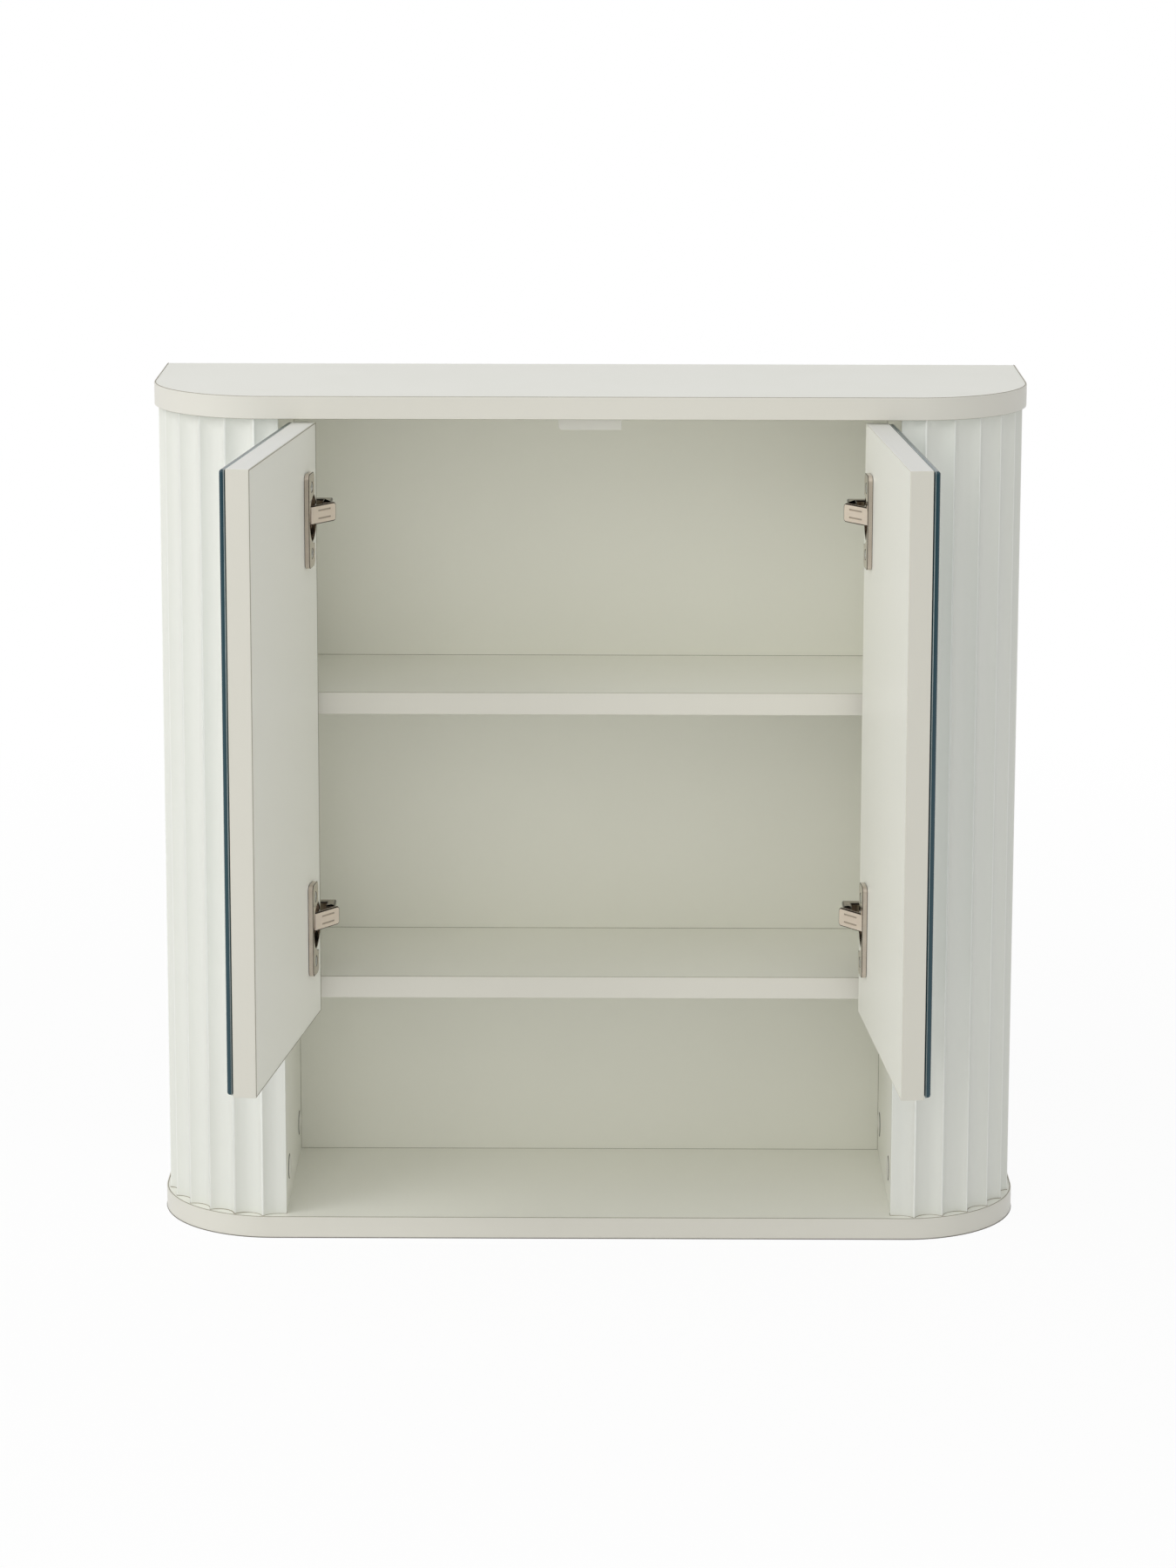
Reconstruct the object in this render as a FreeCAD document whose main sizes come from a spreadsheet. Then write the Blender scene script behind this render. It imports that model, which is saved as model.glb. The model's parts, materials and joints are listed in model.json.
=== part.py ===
import FreeCAD, Part
import math
import os
import re

import Sketcher
from FreeCAD import Placement, Rotation, Vector
from types import SimpleNamespace

# Wall mirror cabinet with fluted columns, two shelves and two inset mirror doors on cup hinges.
# Millimetres. X runs to the right as seen from the front, the front faces -Y and Z is up. Pieces are
# drawn with the wall at y = 0 and the underside of the bottom panel at z = 0, and then stood with the
# origin at the centre of that underside. The doors stand open.

# Driving sizes: alias, value, meaning
SIZES = [
    ("width", 600, "top and bottom panel, left to right"),
    ("height", 590, "overall height"),
    ("depth", 168, "wall to the front edge of the panels"),
    ("board", 15, "carcass board"),
    ("corner_radius", 80, "rounded front corners of the panels"),
    ("edge_band", 0.8, "edge band on boards"),
    ("column_width", 90, "end of the panels to the side panel's inner face"),
    ("back_board", 5, "back panel"),
    ("back_recess", 6, "wall to the back panel"),
    ("groove_depth", 4, "groove for the back panel in the side panels"),
    ("upper_shelf_top", 382, "top face of the upper shelf"),
    ("lower_shelf_top", 181, "top face of the lower shelf"),
    ("shelf_setback", 25, "front edge of the panels to the shelf front"),
    ("flute_setback", 2.5, "panel edge to the flute ridges"),
    ("flute_spacing", 20.3, "ridge to ridge along the column"),
    ("flute_radius", 11.8, "hollow of one flute"),
    ("ridge_land", 0.8, "blunted width of a ridge"),
    ("first_ridge", 16.3, "inner end of the column to its first ridge"),
    ("skin", 10, "fluted skin, ridge to back"),
    ("column_rib", 12, "rib inside a column"),
    ("dowel_radius", 4, "wooden dowel"),
    ("dowel_in_edge", 20, "dowel length in a board's end"),
    ("dowel_in_face", 10, "dowel length in a board's face"),
    ("dowel_inset", 25, "board edge to the nearest dowel"),
    ("cam_radius", 7.5, "cam disc"),
    ("cam_depth", 11.5, "cam disc thickness"),
    ("cam_rise", 25, "bottom panel to the cam centre"),
    ("cam_back", 30, "wall to the rear cam"),
    ("cam_front", 37, "front edge of the panels to the front cam"),
    ("cam_bolt_radius", 3, "cam bolt"),
    ("cam_bolt_foot", 9, "cam bolt length in the bottom panel"),
    ("cap_radius", 8.3, "cover cap of a cam"),
    ("cap_proud", 1, "cover cap thickness"),
    ("stop_width", 43, "door stop block"),
    ("stop_depth", 20, "door stop block"),
    ("stop_drop", 10, "door stop block below the top panel"),
    ("stop_round", 3, "rounding of the stop's lower left edge"),
    ("stop_play", 0.4, "closed door to the stop"),
    ("stop_screw_spacing", 24, "stop screw to stop screw"),
    ("hanger_width", 32, "wall hanger plate"),
    ("hanger_height", 44, "wall hanger plate"),
    ("hanger_plate", 1.5, "wall hanger plate"),
    ("hanger_lap", 12, "hanger plate over the side panel"),
    ("hanger_drop", 50, "top of the cabinet to the hanger eye"),
    ("hanger_eye_radius", 3, "eye for the wall screw"),
    ("hanger_eye_inset", 10, "side panel's inner face to the eye"),
    ("hanger_screw_spacing", 26, "screw to screw on one hanger"),
    ("door_board", 15, "door board"),
    ("tape", 0.5, "adhesive tape behind the mirror"),
    ("tape_width", 24, "one tape strip"),
    ("tape_inset", 22, "tape strip to the mirror's edge"),
    ("glass", 4, "mirror glass"),
    ("side_gap", 2, "closed door to the side panel"),
    ("centre_gap", 2, "between the closed doors"),
    ("top_gap", 3, "door to the top panel"),
    ("door_drop", 4.5, "underside of the lower shelf to the door's low end"),
    ("mirror_top_inset", 0.5, "door edge to the mirror's edge, top"),
    ("mirror_bottom_inset", 1, "door edge to the mirror's edge, bottom"),
    ("mirror_side_inset", 0.5, "door edge to the mirror's edge, sides"),
    ("left_door_angle", 98, "left door, degrees from closed"),
    ("right_door_angle", 94.5, "right door, degrees from closed"),
    ("link_share", 0.54, "turn of the links per turn of the door"),
    ("upper_hinge_inset", 62, "door's top end to the upper hinge centre"),
    ("lower_hinge_inset", 66.5, "door's low end to the lower hinge centre"),
    ("cup_radius", 17.5, "hinge cup"),
    ("cup_depth", 12.4, "hinge cup"),
    ("cup_wall", 0.8, "hinge cup"),
    ("cup_edge", 4, "door edge to the cup"),
    ("cup_play", 0.1, "cup to its bore in the door"),
    ("cup_lip", 1, "round lip of the cup on the door, width and height"),
    ("flange_length", 64, "cup flange"),
    ("flange_width", 18, "cup flange"),
    ("flange_edge", 22, "door edge to the flange"),
    ("flange", 3.5, "cup flange thickness"),
    ("flange_round", 4, "corners of the flange"),
    ("cup_screw_spacing", 45, "flange screw to flange screw"),
    ("cup_screw_offset", 9.5, "cup centre to the flange screws"),
    ("cup_screw_proud", 0.3, "head of a flange screw above the flange"),
    ("pin_radius", 1.25, "hinge pin"),
    ("pin_play", 0.05, "running clearance round a pin"),
    ("cup_pin_along", 9.6, "door edge to the cup pin"),
    ("cup_pin_below", 4.4, "door's inner face to the cup pin"),
    ("arm_pin_along", 32, "side panel to the arm pin"),
    ("arm_pin_below", 4.5, "closed door's inner face to the arm pin"),
    ("link_plate", 2, "link thickness"),
    ("link_width", 13, "link"),
    ("elbow_back", 1, "cup pin to the link's elbow, towards the door's edge"),
    ("elbow_below", 4.7, "cup pin to the link's elbow, into the cup"),
    ("link_line", 1.2, "pressed line on the link"),
    ("link_line_depth", 0.5, "pressed line on the link"),
    ("link_line_spacing", 5.4, "pressed line to pressed line"),
    ("link_line_margin", 6, "ends of the link's web to the pressed lines"),
    ("web_past_pin", 3.2, "arm pin to the end of the link's web"),
    ("web_round", 2.5, "corners at the end of the link's web"),
    ("cup_knuckle_radius", 2.2, "link knuckle on the cup pin"),
    ("cup_knuckle_width", 11, "link knuckle on the cup pin"),
    ("arm_knuckle_radius", 2.4, "link knuckle on the arm pin"),
    ("arm_knuckle_width", 7, "link knuckle on the arm pin"),
    ("cheek_play", 0.35, "knuckle or link to the arm's cheeks"),
    ("arm_width", 13, "hinge arm"),
    ("arm_tip_radius", 3.1, "rounded tip of the arm"),
    ("arm_clearance", 1.5, "closed door's flange to the arm"),
    ("arm_crank", 7, "cranked part of the arm"),
    ("arm_rise", 10, "side panel to the underside of the arm"),
    ("arm_height", 7, "straight part of the arm"),
    ("arm_length", 60, "front of the crank to the arm's end"),
    ("plate_rib", 12, "rib of the mounting plate"),
    ("plate_wing", 3, "wings of the mounting plate"),
    ("plate_span", 50, "across the wings"),
    ("plate_wing_width", 18, "wings, front to back"),
    ("plate_screw_spacing", 32, "screw to screw on one plate"),
    ("screw_head_radius", 3.5, "head of small screws"),
    ("screw_head", 2, "head height of small screws"),
    ("screw_radius", 1.75, "shank of small screws"),
    ("screw_length", 11, "shank of small screws in wood"),
    ("adjuster_radius", 3, "adjusting screw"),
    ("adjuster_head", 1.4, "adjusting screw above the arm"),
    ("adjuster_spacing", 22, "adjusting screw to adjusting screw"),
    ("plate_rib_inset", 1, "arm's ends to the rib of the mounting plate"),
    ("overcut", 1, "cutters past the faces that they open"),
]
RIB_LEVELS = 3
ALONG_X = Rotation(Vector(0, 1, 0), 90)
ALONG_Y = Rotation(Vector(1, 0, 0), -90)
ALONG_Z = Rotation()

doc = FreeCAD.newDocument("mirror_cabinet")
sheet = doc.addObject("Spreadsheet::Sheet", "Sizes")
for row, (alias, value, meaning) in enumerate(SIZES, 1):
    sheet.set(f"A{row}", meaning)
    sheet.set(f"B{row}", str(value))
    sheet.setAlias(f"B{row}", alias)
doc.recompute()
v = SimpleNamespace(**{alias: float(getattr(sheet, alias)) for alias, value, meaning in SIZES})
standing = Placement(Vector(0, v.depth / 2, 0), Rotation())
nodes = []


# Helpers for bound objects
def formula(text):
    """Turn the size names in a text into references to the sheet."""
    return re.sub(r"[a-z_]+", lambda word: "Sizes." + word[0] if hasattr(v, word[0]) else word[0], text)


def bind(thing, properties, texts):
    for name, text in zip(properties, texts):
        thing.setExpression(name, formula(text))


def box(name, spans):
    """A block given by three (low, high) pairs of formulas."""
    thing = doc.addObject("Part::Box", name)
    bind(thing, ("Length", "Width", "Height"), [f"({high}) - ({low})" for low, high in spans])
    bind(thing, [f"Placement.Base.{axis}" for axis in "xyz"], [low for low, high in spans])
    return thing


def beside(side, near, far):
    """The x span that lies from near to far from the middle, on one side."""
    return (near, far) if side > 0 else (f"-({far})", f"-({near})")


def rod(name, radius, length, base, turn):
    thing = doc.addObject("Part::Cylinder", name)
    bind(thing, ("Radius", "Height"), (radius, length))
    thing.recompute()
    thing.Placement = Placement(base, turn)
    return thing


def plate(name, start, end, thickness, width, level):
    """A flat strip between two plan points, centred on a height."""
    thing = doc.addObject("Part::Box", name)
    run = end - start
    thing.Length = run.Length
    bind(thing, ("Width", "Height"), (thickness, width))
    thing.recompute()
    turn = Rotation(Vector(0, 0, 1), math.degrees(math.atan2(run.y, run.x)))
    drop = Vector(0, -thing.Width.Value / 2, -thing.Height.Value / 2)
    thing.Placement = Placement(start + Vector(0, 0, level) + turn.multVec(drop), turn)
    return thing


def fuse(name, pieces):
    thing = doc.addObject("Part::MultiFuse", name)
    thing.Shapes = pieces
    thing.Refine = True
    return thing


def group(name, pieces):
    thing = doc.addObject("Part::Compound", name)
    thing.Links = pieces
    return thing


def cut(name, base, tools):
    thing = doc.addObject("Part::Cut", name)
    thing.Base = base
    thing.Tool = tools[0] if len(tools) == 1 else group(name + "_tools", tools)
    return thing


def common(name, base, tool):
    thing = doc.addObject("Part::Common", name)
    thing.Base = base
    thing.Tool = tool
    return thing


def rounded(name, base, radius, wanted):
    """Round the edges that the test picks out."""
    doc.recompute()
    thing = doc.addObject("Part::Fillet", name)
    thing.Base = base
    picked = [number for number, edge in enumerate(base.Shape.Edges, 1) if wanted(edge)]
    thing.Edges = [(number, radius, radius) for number in picked]
    return thing


def screw(name, head, shank, base, turn):
    """A small screw: its shank runs from the base along the turned Z axis, its head the other way."""
    head_rod = rod(name + "_head", "screw_head_radius", head, base, turn)
    head_rod.Placement.Base = base - turn.multVec(Vector(0, 0, v.screw_head))
    shank_rod = rod(name + "_shank", "screw_radius", shank, base, turn)
    return fuse(name, [head_rod, shank_rod])


def node(label, thing, place=Placement()):
    """Name a finished piece and stand it where its body is."""
    if thing.TypeId == "Part::Box":
        thing = group(label + "_piece", [thing])
    thing.Label = label
    thing.Placement = standing.multiply(place)
    nodes.append(thing)


def edge_runs_along(edge, axis):
    ends = [vertex.Point for vertex in edge.Vertexes]
    if len(ends) < 2:
        return False
    run = ends[1] - ends[0]
    return abs(abs(run.dot(axis)) - run.Length) < 1e-6


# Places worked out from the driving sizes
half = v.width / 2 - v.column_width
ceiling = v.height - v.board
inner_face = v.glass + v.tape + v.door_board
door_low = v.lower_shelf_top - v.board - v.door_drop
door_high = ceiling - v.top_gap
hinge_levels = (door_low + v.lower_hinge_inset, door_high - v.upper_hinge_inset)
cam_level = v.board + v.cam_rise
cam_places = (-v.cam_back, -(v.depth - v.cam_front))
board_middle = half + v.board / 2
HALF = "(width / 2 - column_width)"
CEILING = "height - board"
DOOR_LOW = "lower_shelf_top - board - door_drop"
DOOR_HIGH = "height - board - top_gap"
INNER_FACE = "glass + tape + door_board"
BACK_FACE = "-(back_recess + back_board)"
SKIN_BACK = "flute_setback + skin"
WHOLE_HEIGHT = ("board", CEILING)
SIDES = {"left": -1, "right": 1}


def plan(side, along, behind):
    """Plan point at a distance from the side panel's inner face and behind the front plane."""
    return Vector(side * (half - along), behind - v.depth, 0)


# D-shaped boards
def d_body(name, inset, low, thickness):
    """A panel with rounded front corners, inset from the outline of the top and bottom panels."""
    body = doc.addObject("PartDesign::Body", name)
    sketch = body.newObject("Sketcher::SketchObject", name + "_outline")
    floor_plane = [plane for plane in body.Origin.OriginFeatures if plane.Role == "XY_Plane"][0]
    sketch.AttachmentSupport = (floor_plane, [""])
    sketch.MapMode = "FlatFace"
    left, right, front = -v.width / 2, v.width / 2, -v.depth
    corners = [Vector(left, front, 0), Vector(right, front, 0), Vector(right, 0, 0), Vector(left, 0, 0)]
    for start in range(4):
        sketch.addGeometry(Part.LineSegment(corners[start], corners[(start + 1) % 4]))
    for line in range(4):
        sketch.addConstraint(Sketcher.Constraint("Coincident", line, 2, (line + 1) % 4, 1))
    for line, direction in ((1, "Vertical"), (2, "Horizontal"), (3, "Vertical")):
        sketch.addConstraint(Sketcher.Constraint(direction, line))
    sketch.addConstraint(Sketcher.Constraint("PointOnObject", 2, 1, -1))
    sketch.addConstraint(Sketcher.Constraint("Symmetric", 0, 1, 0, 2, -2))
    span = sketch.addConstraint(Sketcher.Constraint("DistanceX", 0, 1, 0, 2, v.width))
    reach = sketch.addConstraint(Sketcher.Constraint("DistanceY", 1, 1, 1, 2, v.depth))
    bind(sketch, [f"Constraints[{span}]", f"Constraints[{reach}]"],
         [f"width - 2 * ({inset})", f"depth - ({inset})"])
    pad = body.newObject("PartDesign::Pad", name + "_pad")
    pad.Profile = sketch
    bind(pad, ["Length"], [thickness])
    doc.recompute()
    upright = Vector(0, 0, 1)
    fronts = [f"Edge{number}" for number, edge in enumerate(pad.Shape.Edges, 1)
              if edge_runs_along(edge, upright) and edge.CenterOfMass.y < -v.depth / 2]
    fillet = body.newObject("PartDesign::Fillet", name + "_corners")
    fillet.Base = (pad, fronts)
    bind(fillet, ["Radius"], [f"corner_radius - ({inset})"])
    bind(body, ["Placement.Base.z"], [low])
    return body


# Fasteners that join the carcass boards
def shelf_dowels():
    places = []
    for shelf in ("upper", "lower"):
        level = getattr(v, shelf + "_shelf_top") - v.board / 2
        for depth_place in (-(v.depth - v.shelf_setback - v.dowel_inset),
                            -(v.back_recess + v.back_board + v.dowel_inset)):
            for side in SIDES.values():
                start = half - v.dowel_in_edge if side > 0 else -half - v.dowel_in_face
                places.append(Vector(start, depth_place, level))
    return [rod(f"shelf_dowel_{number}", "dowel_radius", "dowel_in_edge + dowel_in_face", place, ALONG_X)
            for number, place in enumerate(places)]


def top_dowels():
    front = -(v.depth - v.flute_setback - v.skin - v.dowel_inset)
    back = -(v.back_recess + v.back_board + v.dowel_inset)
    places = [Vector(side * board_middle, y, ceiling - v.dowel_in_edge)
              for side in SIDES.values() for y in (front, back)]
    return [rod(f"top_dowel_{number}", "dowel_radius", "dowel_in_edge + dowel_in_face", place, ALONG_Z)
            for number, place in enumerate(places)]


def cam_fittings(name, side):
    """Cam discs, their bolts and their cover caps along the foot of one side panel."""
    discs, bolts, caps = [], [], []
    for number, y in enumerate(cam_places):
        bolt = rod(f"{name}_cam_bolt_{number}", "cam_bolt_radius", "cam_bolt_foot + cam_rise",
                   Vector(side * board_middle, y, v.board - v.cam_bolt_foot), ALONG_Z)
        disc_start = half if side > 0 else -half - v.cam_depth
        disc = rod(f"{name}_cam_disc_{number}", "cam_radius", "cam_depth",
                   Vector(disc_start, y, cam_level), ALONG_X)
        cap_start = half - v.cap_proud if side > 0 else -half
        caps.append(rod(f"{name}_cam_cap_{number}", "cap_radius", "cap_proud",
                        Vector(cap_start, y, cam_level), ALONG_X))
        discs.append(cut(f"{name}_cam_{number}", disc, [bolt]))
        bolts.append(bolt)
    return discs, bolts, caps


def cam_bores(name, side):
    """The full round pockets that the cam discs sit in."""
    start = half if side > 0 else -half - v.cam_depth
    return [rod(f"{name}_cam_bore_{number}", "cam_radius", "cam_depth", Vector(start, y, cam_level), ALONG_X)
            for number, y in enumerate(cam_places)]


# Hinge pieces, drawn with the door closed
def hinge_points(side):
    arm_pin = plan(side, v.arm_pin_along, inner_face - v.arm_pin_below)
    cup_pin = plan(side, v.side_gap + v.cup_pin_along, inner_face - v.cup_pin_below)
    elbow = plan(side, v.side_gap + v.cup_pin_along - v.elbow_back,
                 inner_face - v.cup_pin_below - v.elbow_below)
    return arm_pin, cup_pin, elbow


def pin(name, place, level, length, radius="pin_radius"):
    thing = rod(name, radius, length, place, ALONG_Z)
    thing.Placement.Base.z = level - thing.Height.Value / 2
    return thing


def hinge_cup(name, side, level):
    """Cup and flange, with the notch that lets the link out and holes for the pin and two screws."""
    centre = plan(side, v.side_gap + v.cup_edge + v.cup_radius, inner_face) + Vector(0, 0, level)
    floor = centre - Vector(0, v.cup_depth, 0)
    bowl = rod(name + "_bowl", "cup_radius", "cup_depth", floor, ALONG_Y)
    inside = rod(name + "_hollow", "cup_radius - cup_wall", "cup_depth - cup_wall + flange",
                 floor + Vector(0, v.cup_wall, 0), ALONG_Y)
    lip = rod(name + "_lip", "cup_radius + cup_lip", "cup_lip", centre, ALONG_Y)
    flange_span = beside(side, f"{HALF} - side_gap - flange_edge - flange_width",
                         f"{HALF} - side_gap - flange_edge")
    flat = box(name + "_flat", [flange_span, (f"{INNER_FACE} - depth", f"{INNER_FACE} + flange - depth"),
                                (f"{level} - flange_length / 2", f"{level} + flange_length / 2")])
    rim = rounded(name + "_flange", flat, v.flange_round, lambda edge: edge_runs_along(edge, Vector(0, 1, 0)))
    notch_span = beside(side, f"{HALF} - side_gap - cup_edge - cup_radius", f"{HALF} - side_gap")
    notch_half = "(link_width / 2 + cheek_play)"
    notch = box(name + "_notch", [notch_span, (f"{INNER_FACE} - depth", f"{INNER_FACE} + flange - depth"),
                                  (f"{level} - {notch_half}", f"{level} + {notch_half}")])
    pin_rod = pin(name + "_pin_rod", hinge_points(side)[1], level, "2 * cup_radius")
    cup_pin = common(name + "_pin", pin_rod, bowl)
    screws = []
    seat = v.flange + v.cup_screw_proud - v.screw_head
    for number, step in enumerate((-0.5, 0.5)):
        place = centre + Vector(-side * v.cup_screw_offset, seat, step * v.cup_screw_spacing)
        screws.append(screw(f"{name}_screw_{number}", "screw_head",
                            "screw_length + flange + cup_screw_proud - screw_head", place,
                            Rotation(Vector(1, 0, 0), 90)))
    body = fuse(name + "_body", [bowl, lip, rim])
    return cut(name, body, [fuse(name + "_opening", [inside, notch]), cup_pin] + screws), cup_pin, screws


def cup_bore(name, side, level):
    centre = plan(side, v.side_gap + v.cup_edge + v.cup_radius, inner_face) + Vector(0, 0, level)
    return rod(name, "cup_radius + cup_play", "cup_depth + cup_play",
               centre - Vector(0, v.cup_depth + v.cup_play, 0), ALONG_Y)


def hinge_link(name, side, level):
    """Bent link: a broad web along the cup's floor, with a tongue to the arm pin and a leg to the cup pin."""
    arm_pin, cup_pin, elbow = hinge_points(side)
    web_foot = Vector(arm_pin.x, elbow.y, 0)
    web_end = web_foot - Vector(side * v.web_past_pin, 0, 0)
    blank = plate(name + "_blank", elbow, web_end, "link_plate", "link_width", level)
    pieces = [
        rounded(name + "_web", blank, v.web_round, lambda edge: edge_runs_along(edge, Vector(0, 1, 0))
                and abs(edge.CenterOfMass.x - web_end.x) < v.web_round),
        plate(name + "_tongue", web_foot, arm_pin, "2 * arm_knuckle_radius", "arm_knuckle_width", level),
        plate(name + "_leg", elbow, cup_pin, "link_plate", "cup_knuckle_width", level),
        pin(name + "_elbow", elbow, level, "link_width", "link_plate / 2"),
        pin(name + "_arm_knuckle", arm_pin, level, "arm_knuckle_width", "arm_knuckle_radius"),
        pin(name + "_cup_knuckle", cup_pin, level, "cup_knuckle_width", "cup_knuckle_radius"),
    ]
    tools = [
        pin(name + "_arm_bore", arm_pin, level, "link_width", "pin_radius + pin_play"),
        pin(name + "_cup_bore", cup_pin, level, "link_width", "pin_radius + pin_play"),
    ]
    surface = Vector(0, -v.link_plate / 2, 0)
    margin = Vector(-side * v.link_line_margin, 0, 0)
    line_start, line_end = elbow + margin + surface, web_end - margin + surface
    for number, step in enumerate((-0.5, 0.5)):
        tools.append(plate(f"{name}_line_{number}", line_start, line_end, "2 * link_line_depth", "link_line",
                           level + step * v.link_line_spacing))
    return cut(name, fuse(name + "_body", pieces), tools)


def hinge_arm(name, side, level):
    """Cranked arm on its mounting plate, with pin, adjusting screws and plate screws."""
    arm_pin = hinge_points(side)[0]
    crank_low = f"{INNER_FACE} + flange + arm_clearance - depth"
    crank_high = f"{crank_low} + arm_crank"
    pin_y = f"{INNER_FACE} - arm_pin_below - depth"
    wide = (f"{level} - arm_width / 2", f"{level} + arm_width / 2")
    tip_near = f"{HALF} - arm_pin_along - arm_tip_radius"
    tip_far = f"{HALF} - arm_pin_along + arm_tip_radius"
    low_far = f"{HALF} - arm_rise"
    straight = beside(side, f"{HALF} - arm_rise - arm_height", low_far)
    pieces = [
        pin(name + "_tip", arm_pin, level, "arm_width", "arm_tip_radius"),
        box(name + "_leg", [beside(side, tip_near, tip_far), (pin_y, crank_high), wide]),
        box(name + "_crank", [beside(side, tip_near, low_far), (crank_low, crank_high), wide]),
        box(name + "_straight", [straight, (crank_low, f"{crank_low} + arm_length"), wide]),
    ]
    slot_half = "(arm_knuckle_width / 2 + cheek_play)"
    slot = box(name + "_slot", [
        beside(side, f"{tip_near} - overcut", f"{tip_far} + overcut"),
        (f"{pin_y} - arm_tip_radius - overcut", f"{pin_y} + arm_knuckle_radius + cheek_play"),
        (f"{level} - {slot_half}", f"{level} + {slot_half}")])
    arm_pin_rod = pin(name + "_pin", arm_pin, level, "arm_width")

    arm_front = inner_face + v.flange + v.arm_clearance
    wing_middle = arm_front + v.arm_length / 2
    rib_run = (f"{crank_high} + plate_rib_inset", f"{crank_low} + arm_length - plate_rib_inset")
    rib = box(name + "_rib", [beside(side, low_far, HALF), rib_run,
                              (f"{level} - plate_rib / 2", f"{level} + plate_rib / 2")])
    wings = box(name + "_wings", [beside(side, f"{HALF} - plate_wing", HALF),
                                  (f"{wing_middle} - plate_wing_width / 2 - depth",
                                   f"{wing_middle} + plate_wing_width / 2 - depth"),
                                  (f"{level} - plate_span / 2", f"{level} + plate_span / 2")])
    outward = Rotation(Vector(0, 1, 0), 90 * side)
    plate_screws, adjusters = [], []
    for number, step in enumerate((-0.5, 0.5)):
        place = plan(side, v.plate_wing, wing_middle) + Vector(0, 0, level + step * v.plate_screw_spacing)
        plate_screws.append(screw(f"{name}_plate_screw_{number}", "screw_head", "screw_length + plate_wing",
                                  place, outward))
        top = v.arm_rise + v.arm_height + v.adjuster_head
        place = plan(side, top, wing_middle + step * v.adjuster_spacing) + Vector(0, 0, level)
        adjusters.append(rod(f"{name}_adjuster_{number}", "adjuster_radius",
                             "adjuster_head + arm_height + arm_rise - plate_wing", place, outward))
    arm = cut(name, fuse(name + "_body", pieces), [slot, arm_pin_rod] + adjusters)
    mount = cut(name + "_plate", fuse(name + "_plate_body", [rib, wings]), plate_screws + adjusters)
    return arm, mount, arm_pin_rod, plate_screws, adjusters


# Where the moving bodies stand at rest
def link_place(side, angle):
    arm_pin = hinge_points(side)[0]
    return Placement(Vector(), Rotation(Vector(0, 0, 1), -side * v.link_share * angle), arm_pin)


def door_place(side, angle):
    cup_pin = hinge_points(side)[1]
    swing = Placement(Vector(), Rotation(Vector(0, 0, 1), side * (1 + v.link_share) * angle), cup_pin)
    return link_place(side, angle).multiply(swing)


# Fluted columns
def ridge_point(side, run):
    """Plan point and outward direction on the line of ridges, a run away from the column's inner end."""
    straight = v.column_width - v.corner_radius
    radius = v.corner_radius - v.flute_setback
    quarter = radius * math.pi / 2
    turn = min(max((run - straight) / radius, 0), math.pi / 2)
    outward = Vector(side * math.sin(turn), -math.cos(turn), 0)
    corner = Vector(side * (v.width / 2 - v.corner_radius), v.corner_radius - v.depth, 0)
    before = min(run - straight, 0)
    after = max(run - straight - quarter, 0)
    return corner + outward * radius + Vector(side * before, after, 0), outward


def flute_tools(name, side):
    """Round cutters for the hollows between the ridges, and the flat land at the inner end."""
    tools = []
    length = v.depth - v.corner_radius + (v.corner_radius - v.flute_setback) * math.pi / 2
    length += v.column_width - v.corner_radius
    chord = v.flute_spacing - v.ridge_land
    rise = math.sqrt(v.flute_radius ** 2 - chord ** 2 / 4)
    start = v.first_ridge - v.flute_spacing
    while start < length - v.flute_spacing / 2:
        outward = ridge_point(side, start + v.flute_spacing / 2)[1]
        ends = [ridge_point(side, start + half_step)[0] for half_step in (0, v.flute_spacing)]
        chord_middle = (ends[0] + ends[1]) * 0.5
        tools.append(rod(f"{name}_flute_{len(tools)}", "flute_radius", "height - 2 * board",
                         chord_middle + outward * rise + Vector(0, 0, v.board), ALONG_Z))
        start += v.flute_spacing
    land = v.flute_radius - rise
    tools.append(box(name + "_land", [
        beside(side, f"{HALF} - overcut", f"{HALF} + first_ridge - flute_spacing / 2"),
        ("-depth", f"flute_setback + {land} - depth"), WHOLE_HEIGHT]))
    return fuse(name + "_flutes", tools)


# Carcass
core = d_body("column_core", SKIN_BACK, "board", "height - 2 * board")
ring = cut("column_ring", d_body("column_outline", "flute_setback", "board", "height - 2 * board"), [core])
dowels = shelf_dowels()
head_dowels = top_dowels()
cams = {name: cam_fittings(name, side) for name, side in SIDES.items()}
arms = {name: [hinge_arm(f"{name}_arm_{number}", side, level) for number, level in enumerate(hinge_levels)]
        for name, side in SIDES.items()}

stop_front = f"{INNER_FACE} + stop_play - depth"
stop_block = box("stop_blank", [("-stop_width / 2", "stop_width / 2"),
                                (stop_front, f"{stop_front} + stop_depth"),
                                (f"{CEILING} - stop_drop", CEILING)])
stop_middle = inner_face + v.stop_play + v.stop_depth / 2 - v.depth
stop_seat = ceiling - v.stop_drop + v.screw_head
stop_screws = [screw(f"stop_screw_{number}", "screw_head", "stop_drop - screw_head + screw_length",
                     Vector(step * v.stop_screw_spacing, stop_middle, stop_seat), ALONG_Z)
               for number, step in enumerate((-0.5, 0.5))]
stop_soft = rounded("stop_soft", stop_block, v.stop_round,
                    lambda edge: edge.CenterOfMass.z < ceiling - v.stop_drop / 2
                    and edge.CenterOfMass.x < 0 and edge_runs_along(edge, Vector(0, 1, 0)))
node("door_stop_block", cut("stop_cut", stop_soft, stop_screws))
node("door_stop_screws", group("stop_screws", stop_screws))

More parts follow.
